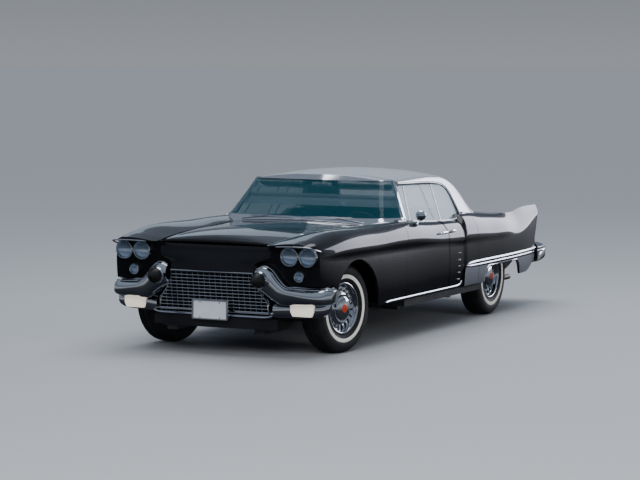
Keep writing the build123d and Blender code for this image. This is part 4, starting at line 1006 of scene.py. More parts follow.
def joined(name, pieces):
    """Several meshes as one object."""
    bpy.context.view_layer.update()
    with bpy.context.temp_override(
        active_object=pieces[0], selected_objects=pieces, selected_editable_objects=pieces, object=pieces[0]
    ):
        bpy.ops.object.join()
    pieces[0].name = name
    return pieces[0]


def both(piece):
    """A piece and its mirror image as one object."""
    return joined(piece.name, [piece, mirrored(piece, piece.name)])


def bar(points, wide, thick, facing=(0, 0, 1), count=10, ends=(1, 1)):
    """Bar of rounded section along a line of points; its width lies across the way it faces."""
    points = [Vector(p) for p in points]
    rings = []
    last = len(points) - 1
    for k, point in enumerate(points):
        along = (points[min(k + 1, last)] - points[max(k - 1, 0)]).normalized()
        across = along.cross(Vector(facing)).normalized()
        lift = across.cross(along)
        size = ends[0] if k == 0 else ends[1] if k == last else 1
        ring = []
        for j in range(count):
            a = math.tau * j / count
            c, s = math.cos(a), math.sin(a)
            flat = (abs(c) ** 3 + abs(s) ** 3) ** (-1 / 3)
            ring.append((point + (across * c * wide / 2 + lift * s * thick / 2) * flat * size) * MM)
        rings.append(ring)
    return settle(skinned("bar", rings))


def curve_through(points, count=8):
    """More points on a smooth line through the given ones."""
    points = [Vector(p) for p in points]
    result = []
    for k in range(len(points) - 1):
        p0, p1 = points[max(k - 1, 0)], points[k]
        p2, p3 = points[k + 1], points[min(k + 2, len(points) - 1)]
        slope, sweep, twist = p2 - p0, 2 * p0 - 5 * p1 + 4 * p2 - p3, 3 * p1 - p0 - 3 * p2 + p3
        for j in range(count):
            t = j / count
            result.append(0.5 * (2 * p1 + slope * t + sweep * t**2 + twist * t**3))
    return result + [points[-1]]


BULLET_FOOT = (469, -2540, 639)
wing_left = settle(blade(FRONT_WING, 404, 990))
pod_left = settle(blade(FRONT_POD, 530, 966))
rims = []
for share in (0.80, 0.56):
    rim_line = [blade_spot(row_at(FRONT_WING, x), share, 1.5) for x in steps(408, 986, 10)]
    rims.append(bar(rim_line, 8, 7, (0, -0.6, 0.8)))
BULLET = [(0, 0.01), (0, 66), (92, 66), (100, 70), (108, 70), (114, 64), (120, 62), (120, 0.01)]
bullet = turned("bullet", BULLET, BULLET_FOOT, (0, -1, 0))
front_half = joined("bumper_half", [wing_left, pod_left, bullet, *rims])
LOW_BAR_Y, LOW_BAR_Z, LOW_BAR_DEEP = -2532, 332, 28
low_rail = []
for x in steps(-540, 540, 30):
    lift = 16 * max(0, (abs(x) - 460) / 80) ** 2
    ring = []
    for k in range(12):
        a = math.tau * k / 12
        y, z = LOW_BAR_Y - LOW_BAR_DEEP * math.cos(a), LOW_BAR_Z + LOW_BAR_DEEP / 2 * math.sin(a)
        ring.append(Vector((x, y, z + lift)) * MM)
    low_rail.append(ring)
low_bar = settle(skinned("low_bar", low_rail))
bumper = joined("bumper", [both(front_half), low_bar])
plate(bumper, "bumper_front_blades", "bumper_front")

rubber = Finish(
    "black_rubber", (0.008, 0.008, 0.009), 0.42, drift=(0.34, 0.52, 40), grain=(300, 3, 0.12, 0.0006),
)
TIP_PROFILE = [
    (0.3, 0.01), (0.3, 60), (12, 61), (22, 59), (40, 50), (58, 38), (74, 25), (84, 13), (90, 0.01),
]
tip = turned("tip", TIP_PROFILE, (469, -2660, 639), (0, -1, 0))
dress(both(tip), "bumper_rubber_tips", "car_body", "rubber", rubber, "bumper_tips", angle=50)

# Lamps: sealed beams behind fluted glass, two headlamps and a fog lamp in each fender end, each in a
# bright ring, and a frosted parking lamp in each bumper pod.
# Headlamp glass tinted blue and bowls of a dimmed blue metal: a painted reflection of the sky in the lamps.
lamp_glass = Finish("lamp_glass", (0.30, 0.42, 0.56), 0.04, specular_ior_level=0.9)
lamp_glass.wire("Alpha", lamp_glass.edge_on(0.3) * 0.45 + 0.12)
FLUTED = {"wave_type": "BANDS", "bands_direction": "X"}
lamp_glass.bump(lamp_glass.wave(FLUTED, 28, 0.4), 0.5, 0.002)
sky_tinted_reflector = Finish("lamp_reflector", (0.62, 0.70, 0.82), 0.1, drift=(0.06, 0.14, 60), metallic=1.0)
lenses = []
bowls = []
rings = []
for lamp in LAMPS:
    r = lamp.lens - 0.3
    face = (lamp.x, lamp.y, lamp.z)
    quarter_turn = [math.pi / 2 * k / 8 for k in range(9)]
    dome = [(12 * math.cos(a) - 6, max(r * math.sin(a), 0.01)) for a in reversed(quarter_turn)]
    lenses.append(turned("lens", [(-10, r - 0.5), *dome], face, (0, -1, 0)))
    bowl = [(-8 - 20 * math.cos(a), max(r * math.sin(a), 0.01)) for a in quarter_turn]
    bowls.append(turned("bowl", bowl, face, (0, -1, 0)))
    w = lamp.ring - lamp.lens
    bezel = [(-40, lamp.ring), (2, lamp.ring), (6, lamp.ring - w * 0.2), (8.5, lamp.ring - w * 0.45)]
    bezel += [(8, lamp.ring - w * 0.7), (3, lamp.lens + 0.6), (-14, lamp.lens)]
    rings.append(turned("ring", bezel, face, (0, -1, 0)))
for name, group, slot, finish, replaced in (
    ("headlamp_lenses", lenses, "lamp_glass", lamp_glass, ["headlamps"]),
    ("headlamp_bowls", bowls, "chrome", sky_tinted_reflector, []),
    ("headlamp_rings", rings, "chrome", chrome, ["lamp_bezels"]),
):
    dress(both(joined(name, group)), name, "car_body", slot, finish, *replaced, angle=50)

parking_glass = Finish(
    "parking_glass", (0.9, 0.86, 0.78), 0.2, shades=((0.86, 0.8, 0.7), (0.95, 0.92, 0.86), 20),
    coat_weight=0.8, emission_strength=0.55, emission_color=(1.0, 0.86, 0.66, 1),
)
parking_glass.bump(parking_glass.wave(FLUTED, 22, 0.2), 0.6, 0.002)
LENS_OUTLINE = ring_of([(-103, 50), (-101, -16), (-82, -52), (82, -52), (101, -16), (103, 50)], 12, 6)
PARKING_PLACE = Vector((761, -2481, 399))
lens_rings = []
for depth, shrink in ((60, 1.0), (6, 1.0), (1.5, 0.985), (-1.5, 0.95), (-3, 0.88)):
    ring = [PARKING_PLACE + Vector((p.x * shrink, depth, p.y * shrink)) for p in LENS_OUTLINE]
    lens_rings.append([p * MM for p in ring])
parking = settle(skinned("parking", lens_rings))
dress(both(parking), "parking_lenses", "car_body", "lamp_glass", parking_glass, "parking_lamps", angle=50)

# Tyres: bias-ply rubber on the rims, with a cream band let into each outer wall and five zigzag ribs
# of tread moulded round the crown.
KINGPIN_X = 668
WHEEL_X = 774.5
STEER_REST = math.radians(-9.35)
Corner = namedtuple("Corner", "name body centre out")
CORNERS = []
for side, side_name in ((1, "left"), (-1, "right")):
    out = Vector((side * math.cos(STEER_REST), side * math.sin(STEER_REST), 0))
    front = Vector((side * KINGPIN_X, FRONT_AXLE_Y, AXLE_Z)) + out * (WHEEL_X - KINGPIN_X)
    rear = Vector((side * WHEEL_X, REAR_AXLE_Y, AXLE_Z))
    CORNERS.append(Corner(f"front_{side_name}", f"wheel_front_{side_name}", front, out))
    CORNERS.append(Corner(f"rear_{side_name}", f"wheel_rear_{side_name}", rear, Vector((side, 0, 0))))
WALL = [
    (72, 214.4), (80, 217), (88, 224), (94, 234), (98, 245), (99, 247), (101, 248.5), (102.8, 252),
    (104, 262), (103.8, 271), (102.6, 275.5), (100.8, 277), (101.6, 280), (103.4, 290), (104, 300),
    (102, 318), (97.5, 336), (91, 347), (90, 346), (86, 352), (85, 351), (80, 356.5), (74, 359),
]
RIBS = [
    (70, 360.5), (68, 355), (62, 355.5), (60, 362), (47, 364.2), (45, 357.5), (39, 358), (37, 365),
    (25, 365.8), (23, 358.5), (17, 358.5), (15, 366),
]
CREAM_OUT = 80
CREAM_LOW = 247.5
CREAM_HIGH = 276.5
ZIGZAG = 2.6
TREAD_STEPS = 120


def refinish(piece, finish, wanted):
    """A second finish for the faces whose middle, in millimetres, passes a test."""
    piece.data.materials.append(finish.material)
    second = len(piece.data.materials) - 1
    for face in piece.data.polygons:
        if wanted(face.center / MM):
            face.material_index = second
    return piece


def reach_of(corner, point):
    """Distance outward and radius of a point about a wheel's axis."""
    away = point - corner.centre
    along = away.dot(corner.out)
    return along, (away - corner.out * along).length


tyre_rubber = Finish(
    "tyre_rubber", (0.012, 0.012, 0.013), 0.6, drift=(0.5, 0.74, 30),
    shades=((0.010, 0.010, 0.011), (0.018, 0.018, 0.019), 12), grain=(700, 3, 0.16, 0.0008),
)
cream_rubber = Finish(
    "cream_rubber", (0.88, 0.85, 0.77), 0.45, drift=(0.38, 0.55, 40),
    shades=((0.83, 0.80, 0.71), (0.92, 0.90, 0.83), 9), grain=(600, 2, 0.08, 0.0006),
)
for corner in CORNERS:
    turn = corner.out.to_track_quat("Z", "Y")
    tyre_rings = []
    for k in range(TREAD_STEPS):
        a = math.tau * k / TREAD_STEPS
        shift = ZIGZAG if k % 2 else -ZIGZAG
        section = WALL + [(z + shift, r) for z, r in RIBS]
        section += [(-z + shift, r) for z, r in reversed(RIBS)]
        section += [(-z, r) for z, r in reversed(WALL)]
        tyre_rings.append([about(corner.centre, turn, r, a, z) for z, r in section])
    tyre = settle(skinned("tyre", tyre_rings, looped=True))
    node = f"tyre_{corner.name}"
    dress(tyre, node + "_tread", corner.body, "tyre", tyre_rubber, node, angle=28)

    def on_cream(point, corner=corner):
        along, radius = reach_of(corner, point)
        return along > CREAM_OUT and CREAM_LOW < radius < CREAM_HIGH

    refinish(tyre, cream_rubber, on_cream)

# Wheels: pressed steel, black behind, under full bright covers with a trim ring, a wreath of vanes over
# dark slots, a smooth dish and a domed hub that carries a plain red enamel disc.
RIM_RADIUS = 214
BACK = [
    (44, 0.01), (44, 30), (-36, 30), (-36, 150), (18, 150), (18, 188), (-72, 192),
    (-72, RIM_RADIUS), (-66, RIM_RADIUS), (73, RIM_RADIUS),
]
COVER = [
    (79, 214), (84, 211.5), (86.5, 206), (86, 199), (82, 194), (70, 190), (54, 186), (48, 184),
    (42, 183), (41, 182), (41, 138), (42, 137), (50, 136), (53, 133), (54, 128), (56, 120),
    (60, 112), (64, 107), (72, 104), (80, 100), (84, 94), (87, 84), (90.5, 66), (93.5, 46),
    (95.5, 28), (96, 0.01),
]
VANES = 20
VANE_FOOT = 40.4
SLOT_FLOOR, SLOT_TOP = 40.2, 41.5
HUB_RADIUS = 138
VANE_SPREAD = math.radians(13.6)
VANE_SECTION = [(0, 0), (0, 0.75), (0.12, 1), (0.5, 0.86), (0.9, 0.62), (1, 0.4), (1, 0)]
MEDAL = [(90, 0.01), (90, 35), (95.5, 35), (97.5, 33), (98.2, 30), (99.4, 16), (100, 0.01)]
slot_black = Finish(
    "slot_black", (0.006, 0.006, 0.007), 0.5, drift=(0.42, 0.6, 30), grain=(260, 2, 0.1, 0.0005),
)
red_enamel = Finish(
    "red_enamel", (0.55, 0.05, 0.015), 0.15, drift=(0.1, 0.2, 80),
    shades=((0.46, 0.035, 0.01), (0.62, 0.075, 0.02), 60), coat_weight=0.8,
)
for corner in CORNERS:
    turn = corner.out.to_track_quat("Z", "Y")
    cover = turned("cover", BACK + COVER, corner.centre, corner.out, count=ROUND)
    vanes = []
    for k in range(VANES):
        start = math.tau * k / VANES - VANE_SPREAD / 2
        vane = []
        for radius, lift in ((139, 4), (142, 11), (158, 14), (176, 12), (181.5, 4)):
            ring = []
            for share, high in VANE_SECTION:
                angle = start + share * VANE_SPREAD
                ring.append(about(corner.centre, turn, radius, angle, VANE_FOOT + lift * high))
            vane.append(ring)
        vanes.append(vane)
    cover = joined("cover", [cover, gathered("vanes", vanes)])
    node = f"wheel_{corner.name}"
    dress(cover, node + "_cover", corner.body, "wheel_metal", chrome, node, angle=35)

    def in_dark(point, corner=corner):
        along, radius = reach_of(corner, point)
        hub = along > SLOT_FLOOR and radius < HUB_RADIUS
        return along < SLOT_TOP and radius < RIM_RADIUS - 0.1 and not hub

    refinish(cover, slot_black, in_dark)
    medal = turned("medal", MEDAL, corner.centre, corner.out, count=48)
    dress(medal, node + "_medallion", corner.body, "red_lens", red_enamel, angle=40)

# Side trim: rolled stainless spears and sill strips clipped to the panels, a satin stainless cladding,
# darkened as painted shade, below the rear spear with a bright lip at the wheel opening, and five small
# cast louvres ahead of it.
LIP_HALF = 7


def side_spot(rows, y, z, out=0.0):
    """Place on a body side seen in side view, standing off it."""
    ring = side_ring(row_at(rows, y))
    for a, b in zip(ring[1:], ring[2:]):
        if z <= b.y or b.y < a.y:
            way = (b - a).normalized()
            p = a.lerp(b, (z - a.y) / max(b.y - a.y, 1e-6)) if b.y > a.y else a
            return Vector((p.x + way.y * out, y, z - way.x * out))
    return Vector((ring[-1].x, y, z))


def moulding(rows, path, profile):
    """Strip on a body side along (y, z, half width); the profile is (share of the half width, out)."""
    rings = []
    for k, run in enumerate(path):
        before, after = path[max(k - 1, 0)], path[min(k + 1, len(path) - 1)]
        along = Vector((after[0] - before[0], after[1] - before[1])).normalized()
        up = Vector((-along.y, along.x)) * run[2]
        ring = [side_spot(rows, run[0] + up.x * s, run[1] + up.y * s, out) * MM for s, out in profile]
        rings.append(ring)
    return settle(skinned("moulding", rings))


def between(path, low_y, high_y, pitch=22):
    """Rows of a path from low to high along the car."""
    return [row_at(path, y) for y in steps(low_y, high_y, pitch)]


Run = namedtuple("Run", "y z half")
SPEAR_PATH = [
    Run(396, 541, 1.5), Run(420, 541, 12), Run(470, 541, 23), Run(560, 541, 28), Run(760, 541, 30),
    Run(1400, 541, 30), Run(2200, 541, 30), Run(2330, 541, 32),
]
SPEAR = [
    (-1, -3), (-1, 2), (-0.82, 5), (-0.5, 6.5), (-0.2, 5), (-0.1, 2), (0, 2), (0.08, 7), (0.3, 10),
    (0.6, 10.5), (0.85, 8), (1, 3), (1, -3),
]
STRIP = [(-1, -3), (-1, 2), (-0.7, 5), (0, 7.5), (0.7, 5), (1, 2), (1, -3)]
LIP = [(-1, -20), (-1, 3), (-0.5, 5), (0.3, 5), (0.9, 2.2), (1, -1)]
trim_rows = [
    ("door_rear_spear", "door_rear_", REAR_FLANK, between(SPEAR_PATH, 396, SHUT_REAR_Y - HALF_GAP), SPEAR),
    ("quarter_spear", "car_body", REAR_FLANK, between(SPEAR_PATH, SHUT_REAR_Y + HALF_GAP, 2330), SPEAR),
]
SILL_PATH = [
    Run(-1316, 366, 2), Run(-1290, 366, 8), Run(-1240, 366, 10.5), Run(-200, 366, 10.5),
    Run(200, 366, 10.5), Run(270, 369, 10.5), Run(320, 384, 10), Run(352, 404, 7),
]
for stem, body, low_y, high_y in (
    ("fender_sill_strip", "car_body", -1316, SHUT_FRONT_Y - HALF_GAP),
    ("door_front_sill_strip", "door_front_", SHUT_FRONT_Y + HALF_GAP, SHUT_MIDDLE_Y - HALF_GAP),
    ("door_rear_sill_strip", "door_rear_", SHUT_MIDDLE_Y + HALF_GAP, 350),
):
    trim_rows.append((stem, body, FRONT_FLANK, between(SILL_PATH, low_y, high_y), STRIP))
opening = rounded(REAR_OPENING, OPENING_CORNER, 12)
lip_path = [(y, z, LIP_HALF) for y, z in opening if z > DOOR_FOOT_Z + 4]
foot_in = [(lip_path[0][0] - 14, DOOR_FOOT_Z + 8, LIP_HALF)]
trim_rows.append(("wheel_opening_lip", "car_body", REAR_FLANK, foot_in + lip_path, LIP))
for stem, body, rows, path, profile in trim_rows:
    plate_sides(moulding(rows, path, profile), stem, body, angle=40)
LOUVRE = [(-1, -2), (-1, 1), (0.4, 8), (0.9, 9), (1, 7), (1, -2)]
louvres = []
for z in (660, 600, 541, 484, 424):
    blade_path = [(238, z - 4, 2), (248, z - 2, 5), (262, z, 6), (276, z + 2, 6), (278, z + 2, 5)]
    louvres.append(moulding(FRONT_FLANK, blade_path, LOUVRE))
plate_sides(joined("louvres", louvres), "door_rear_louvres", "door_rear_", angle=30)

# Cladding: the roof's stainless made a little rougher, its colour set far darker than the roof's as painted
# shade.
satin_shaded_steel = Finish(
    "satin_stainless", (0.42, 0.44, 0.48), 0.36, drift=(0.28, 0.44, 70, (10, 0.5, 10)),
    shades=((0.36, 0.38, 0.42), (0.47, 0.49, 0.53), 120, (12, 0.3, 12)),
    grain=(240, 2, 0.05, 0.0005, (8, 0.3, 8)), metallic=1.0,
)
SKIRT = [(372, 356), (372, 470), (388, 520), (2400, 520), (2400, 356)]
for stem, body, low_y, high_y in (
    ("door_rear_cladding", "door_rear_", 372, SHUT_REAR_Y - HALF_GAP),
    ("quarter_cladding", "car_body", SHUT_REAR_Y + HALF_GAP, 2328),
):
    sheet = carve(flank(REAR_FLANK, 362, 2400, -2.2), flank(REAR_FLANK, 360, 2402, -0.2))
    carve(sheet, prism(SKIRT, 860, BESIDE_X), "INTERSECT")
    carve(sheet, block((860, low_y, 300), (1100, high_y, 600)), "INTERSECT")
    carve(sheet, prism(rounded(REAR_OPENING, OPENING_CORNER), 780, 1180))
    if body == "car_body":
        carve(sheet, prism(QUARTER_OUTLINE, 600, BESIDE_X), "INTERSECT")
    dress_sides(sheet, stem, body, "roof_steel", satin_shaded_steel, angle=40)

# Door furniture and window trim: die-cast pull handles that meet at the middle shut line, polished strips
# under and between the side glasses, and a rain gutter that follows the roof down to the belt.
HANDLE_Z = 862
for stem, body, tip_y, root_y in (
    ("door_front_handle", "door_front_", -205, 26),
    ("door_rear_handle", "door_rear_", 196, 54),
):
    grip = []
    for share, out in ((0, 4), (0.1, 12), (0.3, 27), (0.6, 29), (0.85, 22), (1, 8)):
        y = tip_y + (root_y - tip_y) * share
        grip.append(side_spot(FRONT_FLANK, y, HANDLE_Z, out))
    handle = bar(curve_through(grip, 5), 17, 9, (1, 0, 0.3), ends=(0.35, 0.7))
    posts = [handle]
    for share in (0.16, 0.8):
        y = tip_y + (root_y - tip_y) * share
        foot_spot = side_spot(FRONT_FLANK, y, HANDLE_Z, -3)
        head_spot = side_spot(FRONT_FLANK, y, HANDLE_Z, 24)
        post = [foot_spot, foot_spot.lerp(head_spot, 0.3), head_spot]
        posts.append(bar(post, 22, 13, ends=(1.5, 0.8)))
    plate_sides(joined("handle", posts), stem, body)


def belt_spot(y, inboard=5, lift=2):
    """Place on the crest of a front door."""
    row = row_at(FRONT_FLANK, y)
    return Vector((row.crest_x - inboard, y, row.crest_z + lift))


KICK = [Vector((874, 400, 956)), Vector((871, 470, 968)), Vector((866, 540, 984)), Vector((862, 610, 995))]
KICK += [Vector((860, 690, 999))]
belts = [
    ("door_front_belt", "door_front_", [belt_spot(y) for y in steps(-780, 35, 40)]),
    ("door_rear_belt", "door_rear_", [belt_spot(y) for y in steps(45, 330, 40)] + KICK),
]
for stem, body, line in belts:
    plate_sides(bar(line, 15, 9), stem, body)


def glass_spot(y, z, out=0.0):
    """Place on the outer face of the door glasses."""
    share = (y - GLASS_LINES[0].y) / (GLASS_LINES[1].y - GLASS_LINES[0].y)
    head_x = GLASS_LINES[0].head_x + (GLASS_LINES[1].head_x - GLASS_LINES[0].head_x) * share
    lift = (z - GLASS_LINES[0].foot_z) / (GLASS_LINES[0].head_z - GLASS_LINES[0].foot_z)
    foot_x = GLASS_LINES[0].foot_x
    return Vector((foot_x + (head_x - foot_x) * lift + out, y, z + out * 0.4))


BAR_FOOT_Z = 938
BAR_RISE = 346
DivisionLine = namedtuple("DivisionLine", "stem body foot_y head_y wide")
for line in (
    DivisionLine("door_front_vent_bar", "door_front_", -500, -352, 16),
    DivisionLine("door_front_glass_edge", "door_front_", 28, 30, 11),
    DivisionLine("door_rear_vent_bar", "door_rear_", 161, 262, 16),
):
    lean = line.head_y - line.foot_y
    run = []
    for t in (0, 0.25, 0.5, 0.75, 1):
        run.append(glass_spot(line.foot_y + lean * t, BAR_FOOT_Z + BAR_RISE * t, -2))
    plate_sides(bar(run, line.wide, 11, (1, 0, 0.4)), line.stem, line.body)


def roof_spot(y, z, out=0.0):
    """Place on the side of the roof."""
    ring = roof_ring(row_at(ROOF, y))
    for a, b in zip(ring, ring[1:]):
        if a.y <= z <= b.y:
            way = (b - a).normalized()
            p = a.lerp(b, (z - a.y) / (b.y - a.y))
            return Vector((p.x + way.y * out, y, z - way.x * out))
    return Vector((ring[-1].x, y, z))


GUTTER = [
    (-470, 1316), (-300, 1318), (30, 1308), (200, 1302), (400, 1287), (514, 1264), (578, 1220),
    (608, 1152), (617, 1062), (621, 1006),
]
gutter_line = curve_through([roof_spot(y, z, 2) for y, z in GUTTER], 5)
plate_sides(bar(gutter_line, 11, 9, (1, 0, 0)), "roof_gutter")
SEAL_TURN_Y = 380
inner_spots = []
for y, z in GUTTER:
    turn_in = max(0, y - SEAL_TURN_Y)
    inner_spots.append(roof_spot(y - 2 - turn_in / 16, z - 15 + turn_in / 18, -6))
inner_line = curve_through(inner_spots, 5)
seal = Finish(
    "window_seal", (0.01, 0.01, 0.011), 0.55, drift=(0.45, 0.65, 40), grain=(300, 2, 0.1, 0.0005),
)
dress_sides(bar(inner_line, 10, 8, (1, 0, 0)), "roof_seal", "car_body", "rubber", seal, angle=50)

# Backlight sill: a black pressing that closes the step between the roof's foot and the deck, under a
# polished bead that covers the roof's raw edge.
DECK_CROWN = 22


def roof_edge(x, y):
    """Height of the roof's crown across the car."""
    row = row_at(ROOF, y)
    return row.crown_z - (row.crown_z - row.edge_z) * (x / row.edge_x) ** 2


def deck_top(x, y):
    """Height of the deck's crown across the car."""
    edge = row_at(REAR_FLANK, y)
    return edge.inner_z + DECK_CROWN * (1 - (x / (edge.inner_x - PANEL_GAP)) ** 2)


sill_rings = []
for x in steps(-760, 760, 40):
    top = roof_edge(x, ROOF_END_Y)
    low = min(deck_top(min(abs(x), 700), ROOF_END_Y + 22), top - 6)
    section = [(ROOF_END_Y - 22, top - 26), (ROOF_END_Y + 2, top - 5), (ROOF_END_Y + 9, top - 9)]
    section += [(ROOF_END_Y + 17, low + 8), (ROOF_END_Y + 34, low + 1)]
    section += [(ROOF_END_Y + 34, low - 6), (ROOF_END_Y - 22, low - 6)]
    sill_rings.append([Vector((x, y, z)) * MM for y, z in section])
sill = settle(skinned("sill", sill_rings))
dress(sill, "backlight_sill", "car_body", "body_black", black_paint, angle=50)
bead_line = [(x, ROOF_END_Y + 3, roof_edge(x, ROOF_END_Y) - 3) for x in steps(-784, 784, 40)]
plate(bar(bead_line, 9, 10, (0, 1, 0.3)), "backlight_bead")
glass_bead = []
for p in ring_of(BACKLIGHT, BACKLIGHT_CORNER):
    low_y, high_y = 740, ROOF_END_Y
    for _ in range(24):
        middle_y = (low_y + high_y) / 2
        if roof_edge(p.x, middle_y) > p.y:
            low_y = middle_y
        else:
            high_y = middle_y
    glass_bead.append(Vector((p.x, middle_y + 1, p.y + 1)))
plate(bar(glass_bead + glass_bead[:1], 10, 8, (0, 1, 0.6)), "backlight_surround")

# Cowl and wipers: a black air intake with nine slanted bright fins ahead of the windshield, and two arms
# on bright pivots with their blades parked along its foot.
COWL_RISE = 33


def cowl_spot(x, y, lift=0.0):
    """Place on the crowned cowl, lifted off it."""
    edge = row_at(FRONT_FLANK, y)
    share = x / (edge.inner_x - PANEL_GAP)
    return Vector((x, y, edge.inner_z + COWL_RISE * (1 - share**2) + lift))


def foot_y(x, ahead):
    """Line ahead of the windshield's foot."""
    foot = SCREEN[0]
    bow = foot.corner_y - foot.middle_y
    return foot.middle_y + bow * (x / foot.corner_x) ** 2 - FRAME_OUT - ahead


INTAKE = [(8, -1), (8, 2), (40, 2), (40, -1)]
intake = [[cowl_spot(x, foot_y(x, a), lift) * MM for a, lift in INTAKE] for x in steps(-560, 560, 28)]
dress(settle(skinned("intake", intake)), "cowl_intake", "car_body", "frame_steel", slot_black)
FIN = [(-12, 42, 1), (-6, 34, 5), (6, 16, 6), (14, 8, 3)]
fins = []
for k in range(9):
    x = (k - 4) * 124
    fin = [cowl_spot(x + dx, foot_y(x + dx, a), lift) for dx, a, lift in FIN]
    fins.append(bar(fin, 7, 5, ends=(0.5, 0.5)))
for ahead in (42, 5):
    frame_line = [cowl_spot(x, foot_y(x, ahead), 2.5) for x in steps(-572, 572, 30)]
    fins.append(bar(frame_line, 6, 5, ends=(0.4, 0.4)))
plate(joined("fins", fins), "cowl_fins")
pivot = cowl_spot(590, foot_y(590, 10))
arm = [pivot + Vector((0, -4, 10)), pivot + Vector((-40, -16, 20))]
arm += [Vector((360, foot_y(360, -4), 1026)), Vector((250, foot_y(250, -6), 1031))]
strip = [Vector((x, foot_y(x, -8), 1030 + 4 * (1 - (x / 560) ** 2))) for x in steps(60, 500, 40)]
PIVOT = [(-12, 0.01), (-12, 17), (4, 17), (9, 14), (11, 9), (16, 8), (18, 5), (19, 0.01)]
wiper_parts = [
    turned("pivot", PIVOT, pivot, (0, -0.3, 1), count=24),
    bar(curve_through(arm, 4), 8, 5, ends=(1.4, 0.8)),
    bar(strip, 7, 7, ends=(0.5, 0.5)),
]
plate(both(joined("wiper", wiper_parts)), "wipers")

# Brows: cast bright visors let into the lower edge of each fender's overhang above its lamps, bent
# round the corner and running back to a point.
brow_line = [
    (585, -2600, 907), (640, -2615, 909), (740, -2618, 911), (840, -2617, 910), (890, -2608, 905),
    (908, -2580, 896), (919, -2530, 884), (926, -2470, 870),
]
plate_sides(bar(curve_through(brow_line, 5), 12, 13, ends=(0.3, 0.15)), "brow")

# Door mirror: a spun and chromed bullet head on a bent tube, which stands on a turned foot screwed to
# the driver's door.
MIRROR_CENTRE = (906, -440, 1040)
HEAD = [
    (0, 0.01), (0, 43), (-2, 46), (0, 48), (8, 48.5), (24, 46), (38, 38), (47, 26), (50.5, 12),
    (51.5, 0.01),
]
head = turned("head", HEAD, MIRROR_CENTRE, (0, -1, 0))
STALK = [(886, -566, 896), (893, -552, 925), (902, -520, 960), (907, -482, 992), (906, -470, 1008)]
stalk = bar(curve_through(STALK, 5), 15, 15, (1, 0, 0))
FOOT = [(-8, 0.01), (-8, 26), (3, 26), (8, 20), (12, 9), (13, 0.01)]
foot_disc = turned("foot", FOOT, (884, -566, 903), (0.45, 0, 1), count=32)
door_mirror = joined("door_mirror", [head, stalk, foot_disc])
plate(door_mirror, "door_mirror_head", "door_mirror", body="door_front_left", angle=45)

# Number plate: a blank plate of pressed and enamelled steel, held by four screws in a chromed tray that
# hangs on the bumper's lower bar.
PLATE_Z = 376
TRAY = ring_of([(-165, 80), (-165, -80), (165, -80), (165, 80)], 9, 4)
PLATE = ring_of([(-147, 69), (-147, -69), (147, -69), (147, 69)], 6, 4)


def plate_slab(outline, sizes):
    """Rings of an outline stepped back and shrunk by its sizes."""
    return [[Vector((p.x * s, y, PLATE_Z + p.y * t)) * MM for p in outline] for y, s, t in sizes]


TRAY_DEPTHS = [
    (-2580, 1, 1), (-2600, 1, 1), (-2603, 0.985, 0.97), (-2603, 0.925, 0.9), (-2597, 0.92, 0.89),
]
HANGER = [(-2560, 322), (-2584, 322), (-2584, 342), (-2560, 342)]
hanger = [[Vector((x, y, z)) * MM for y, z in HANGER] for x in (-120, 120)]
tray = gathered("tray", [plate_slab(TRAY, TRAY_DEPTHS), hanger])
plate(tray, "plate_tray", "plate_holder", angle=30)
plate_paint = Finish(
    "plate_enamel", (0.62, 0.66, 0.74), 0.3, drift=(0.24, 0.38, 30),
    shades=((0.58, 0.62, 0.70), (0.66, 0.70, 0.78), 10), coat_weight=0.4,
)
PLATE_DEPTHS = [
    (-2596, 1, 1), (-2599.6, 1, 1), (-2600.4, 0.99, 0.98), (-2599.6, 0.955, 0.91),
    (-2599.6, 0.5, 0.5),
]
number_plate = gathered("plate", [plate_slab(PLATE, PLATE_DEPTHS)])
dress(number_plate, "number_plate", "car_body", "trim_plastic", plate_paint, angle=30)
SCREW = [(0, 0.01), (0, 6.5), (2, 6.2), (3.4, 4), (3.8, 0.01)]
screws = []
for x in (-89, 89):
    for z in (-60.5, 60.5):
        screws.append(turned("screw", SCREW, (x, -2599.4, PLATE_Z + z), (0, -1, 0), count=20))
plate(joined("plate_screws", screws), "plate_screws")

# Rear bumper and tail lamps: a chromed bar that swells into a pod behind each fin, and a round red lamp
# in a bright ring on each quarter's slanted end.
REAR_WING = [
    Wing(0, 2604, 2500, 560, 505, 440),
    Wing(300, 2602, 2500, 560, 505, 440),
    Wing(560, 2610, 2508, 572, 500, 428),
    Wing(700, 2656, 2520, 596, 498, 406),
    Wing(790, 2722, 2520, 600, 498, 398),
    Wing(850, 2736, 2500, 598, 500, 402),
    Wing(905, 2690, 2440, 578, 500, 416),
    Wing(940, 2600, 2380, 560, 500, 430),
]
rear_half = settle(blade(REAR_WING, 0, 940))
rear_bead = bar([blade_spot(row_at(REAR_WING, x), 0.55, 2) for x in steps(4, 936, 12)], 9, 8)
wrap_line = [
    (956, 2334, 541), (950, 2400, 541), (942, 2480, 540), (933, 2560, 536), (918, 2640, 528),
    (884, 2706, 516),
]
wraps = [
    bar(curve_through([(x, y, z + 14) for x, y, z in wrap_line], 4), 30, 14, (1, 0, 0), ends=(1, 0.3)),
    bar(curve_through([(x - 2, y, z - 17) for x, y, z in wrap_line], 4), 24, 10, (1, 0, 0), ends=(1, 0.3)),
]
rear_half = joined("rear_half", [rear_half, rear_bead, *wraps])
plate(both(rear_half), "bumper_rear_blade", "bumper_rear")
red_glass = Finish(
    "red_lens", (0.42, 0.008, 0.006), 0.08, drift=(0.06, 0.12, 60),
    shades=((0.36, 0.006, 0.005), (0.5, 0.012, 0.008), 40), coat_weight=0.9, emission_strength=0.12,
    emission_color=(0.8, 0.02, 0.01, 1),
)
red_glass.bump(red_glass.wave({"wave_type": "RINGS", "rings_direction": "Y"}, 30, 0), 0.3, 0.001)
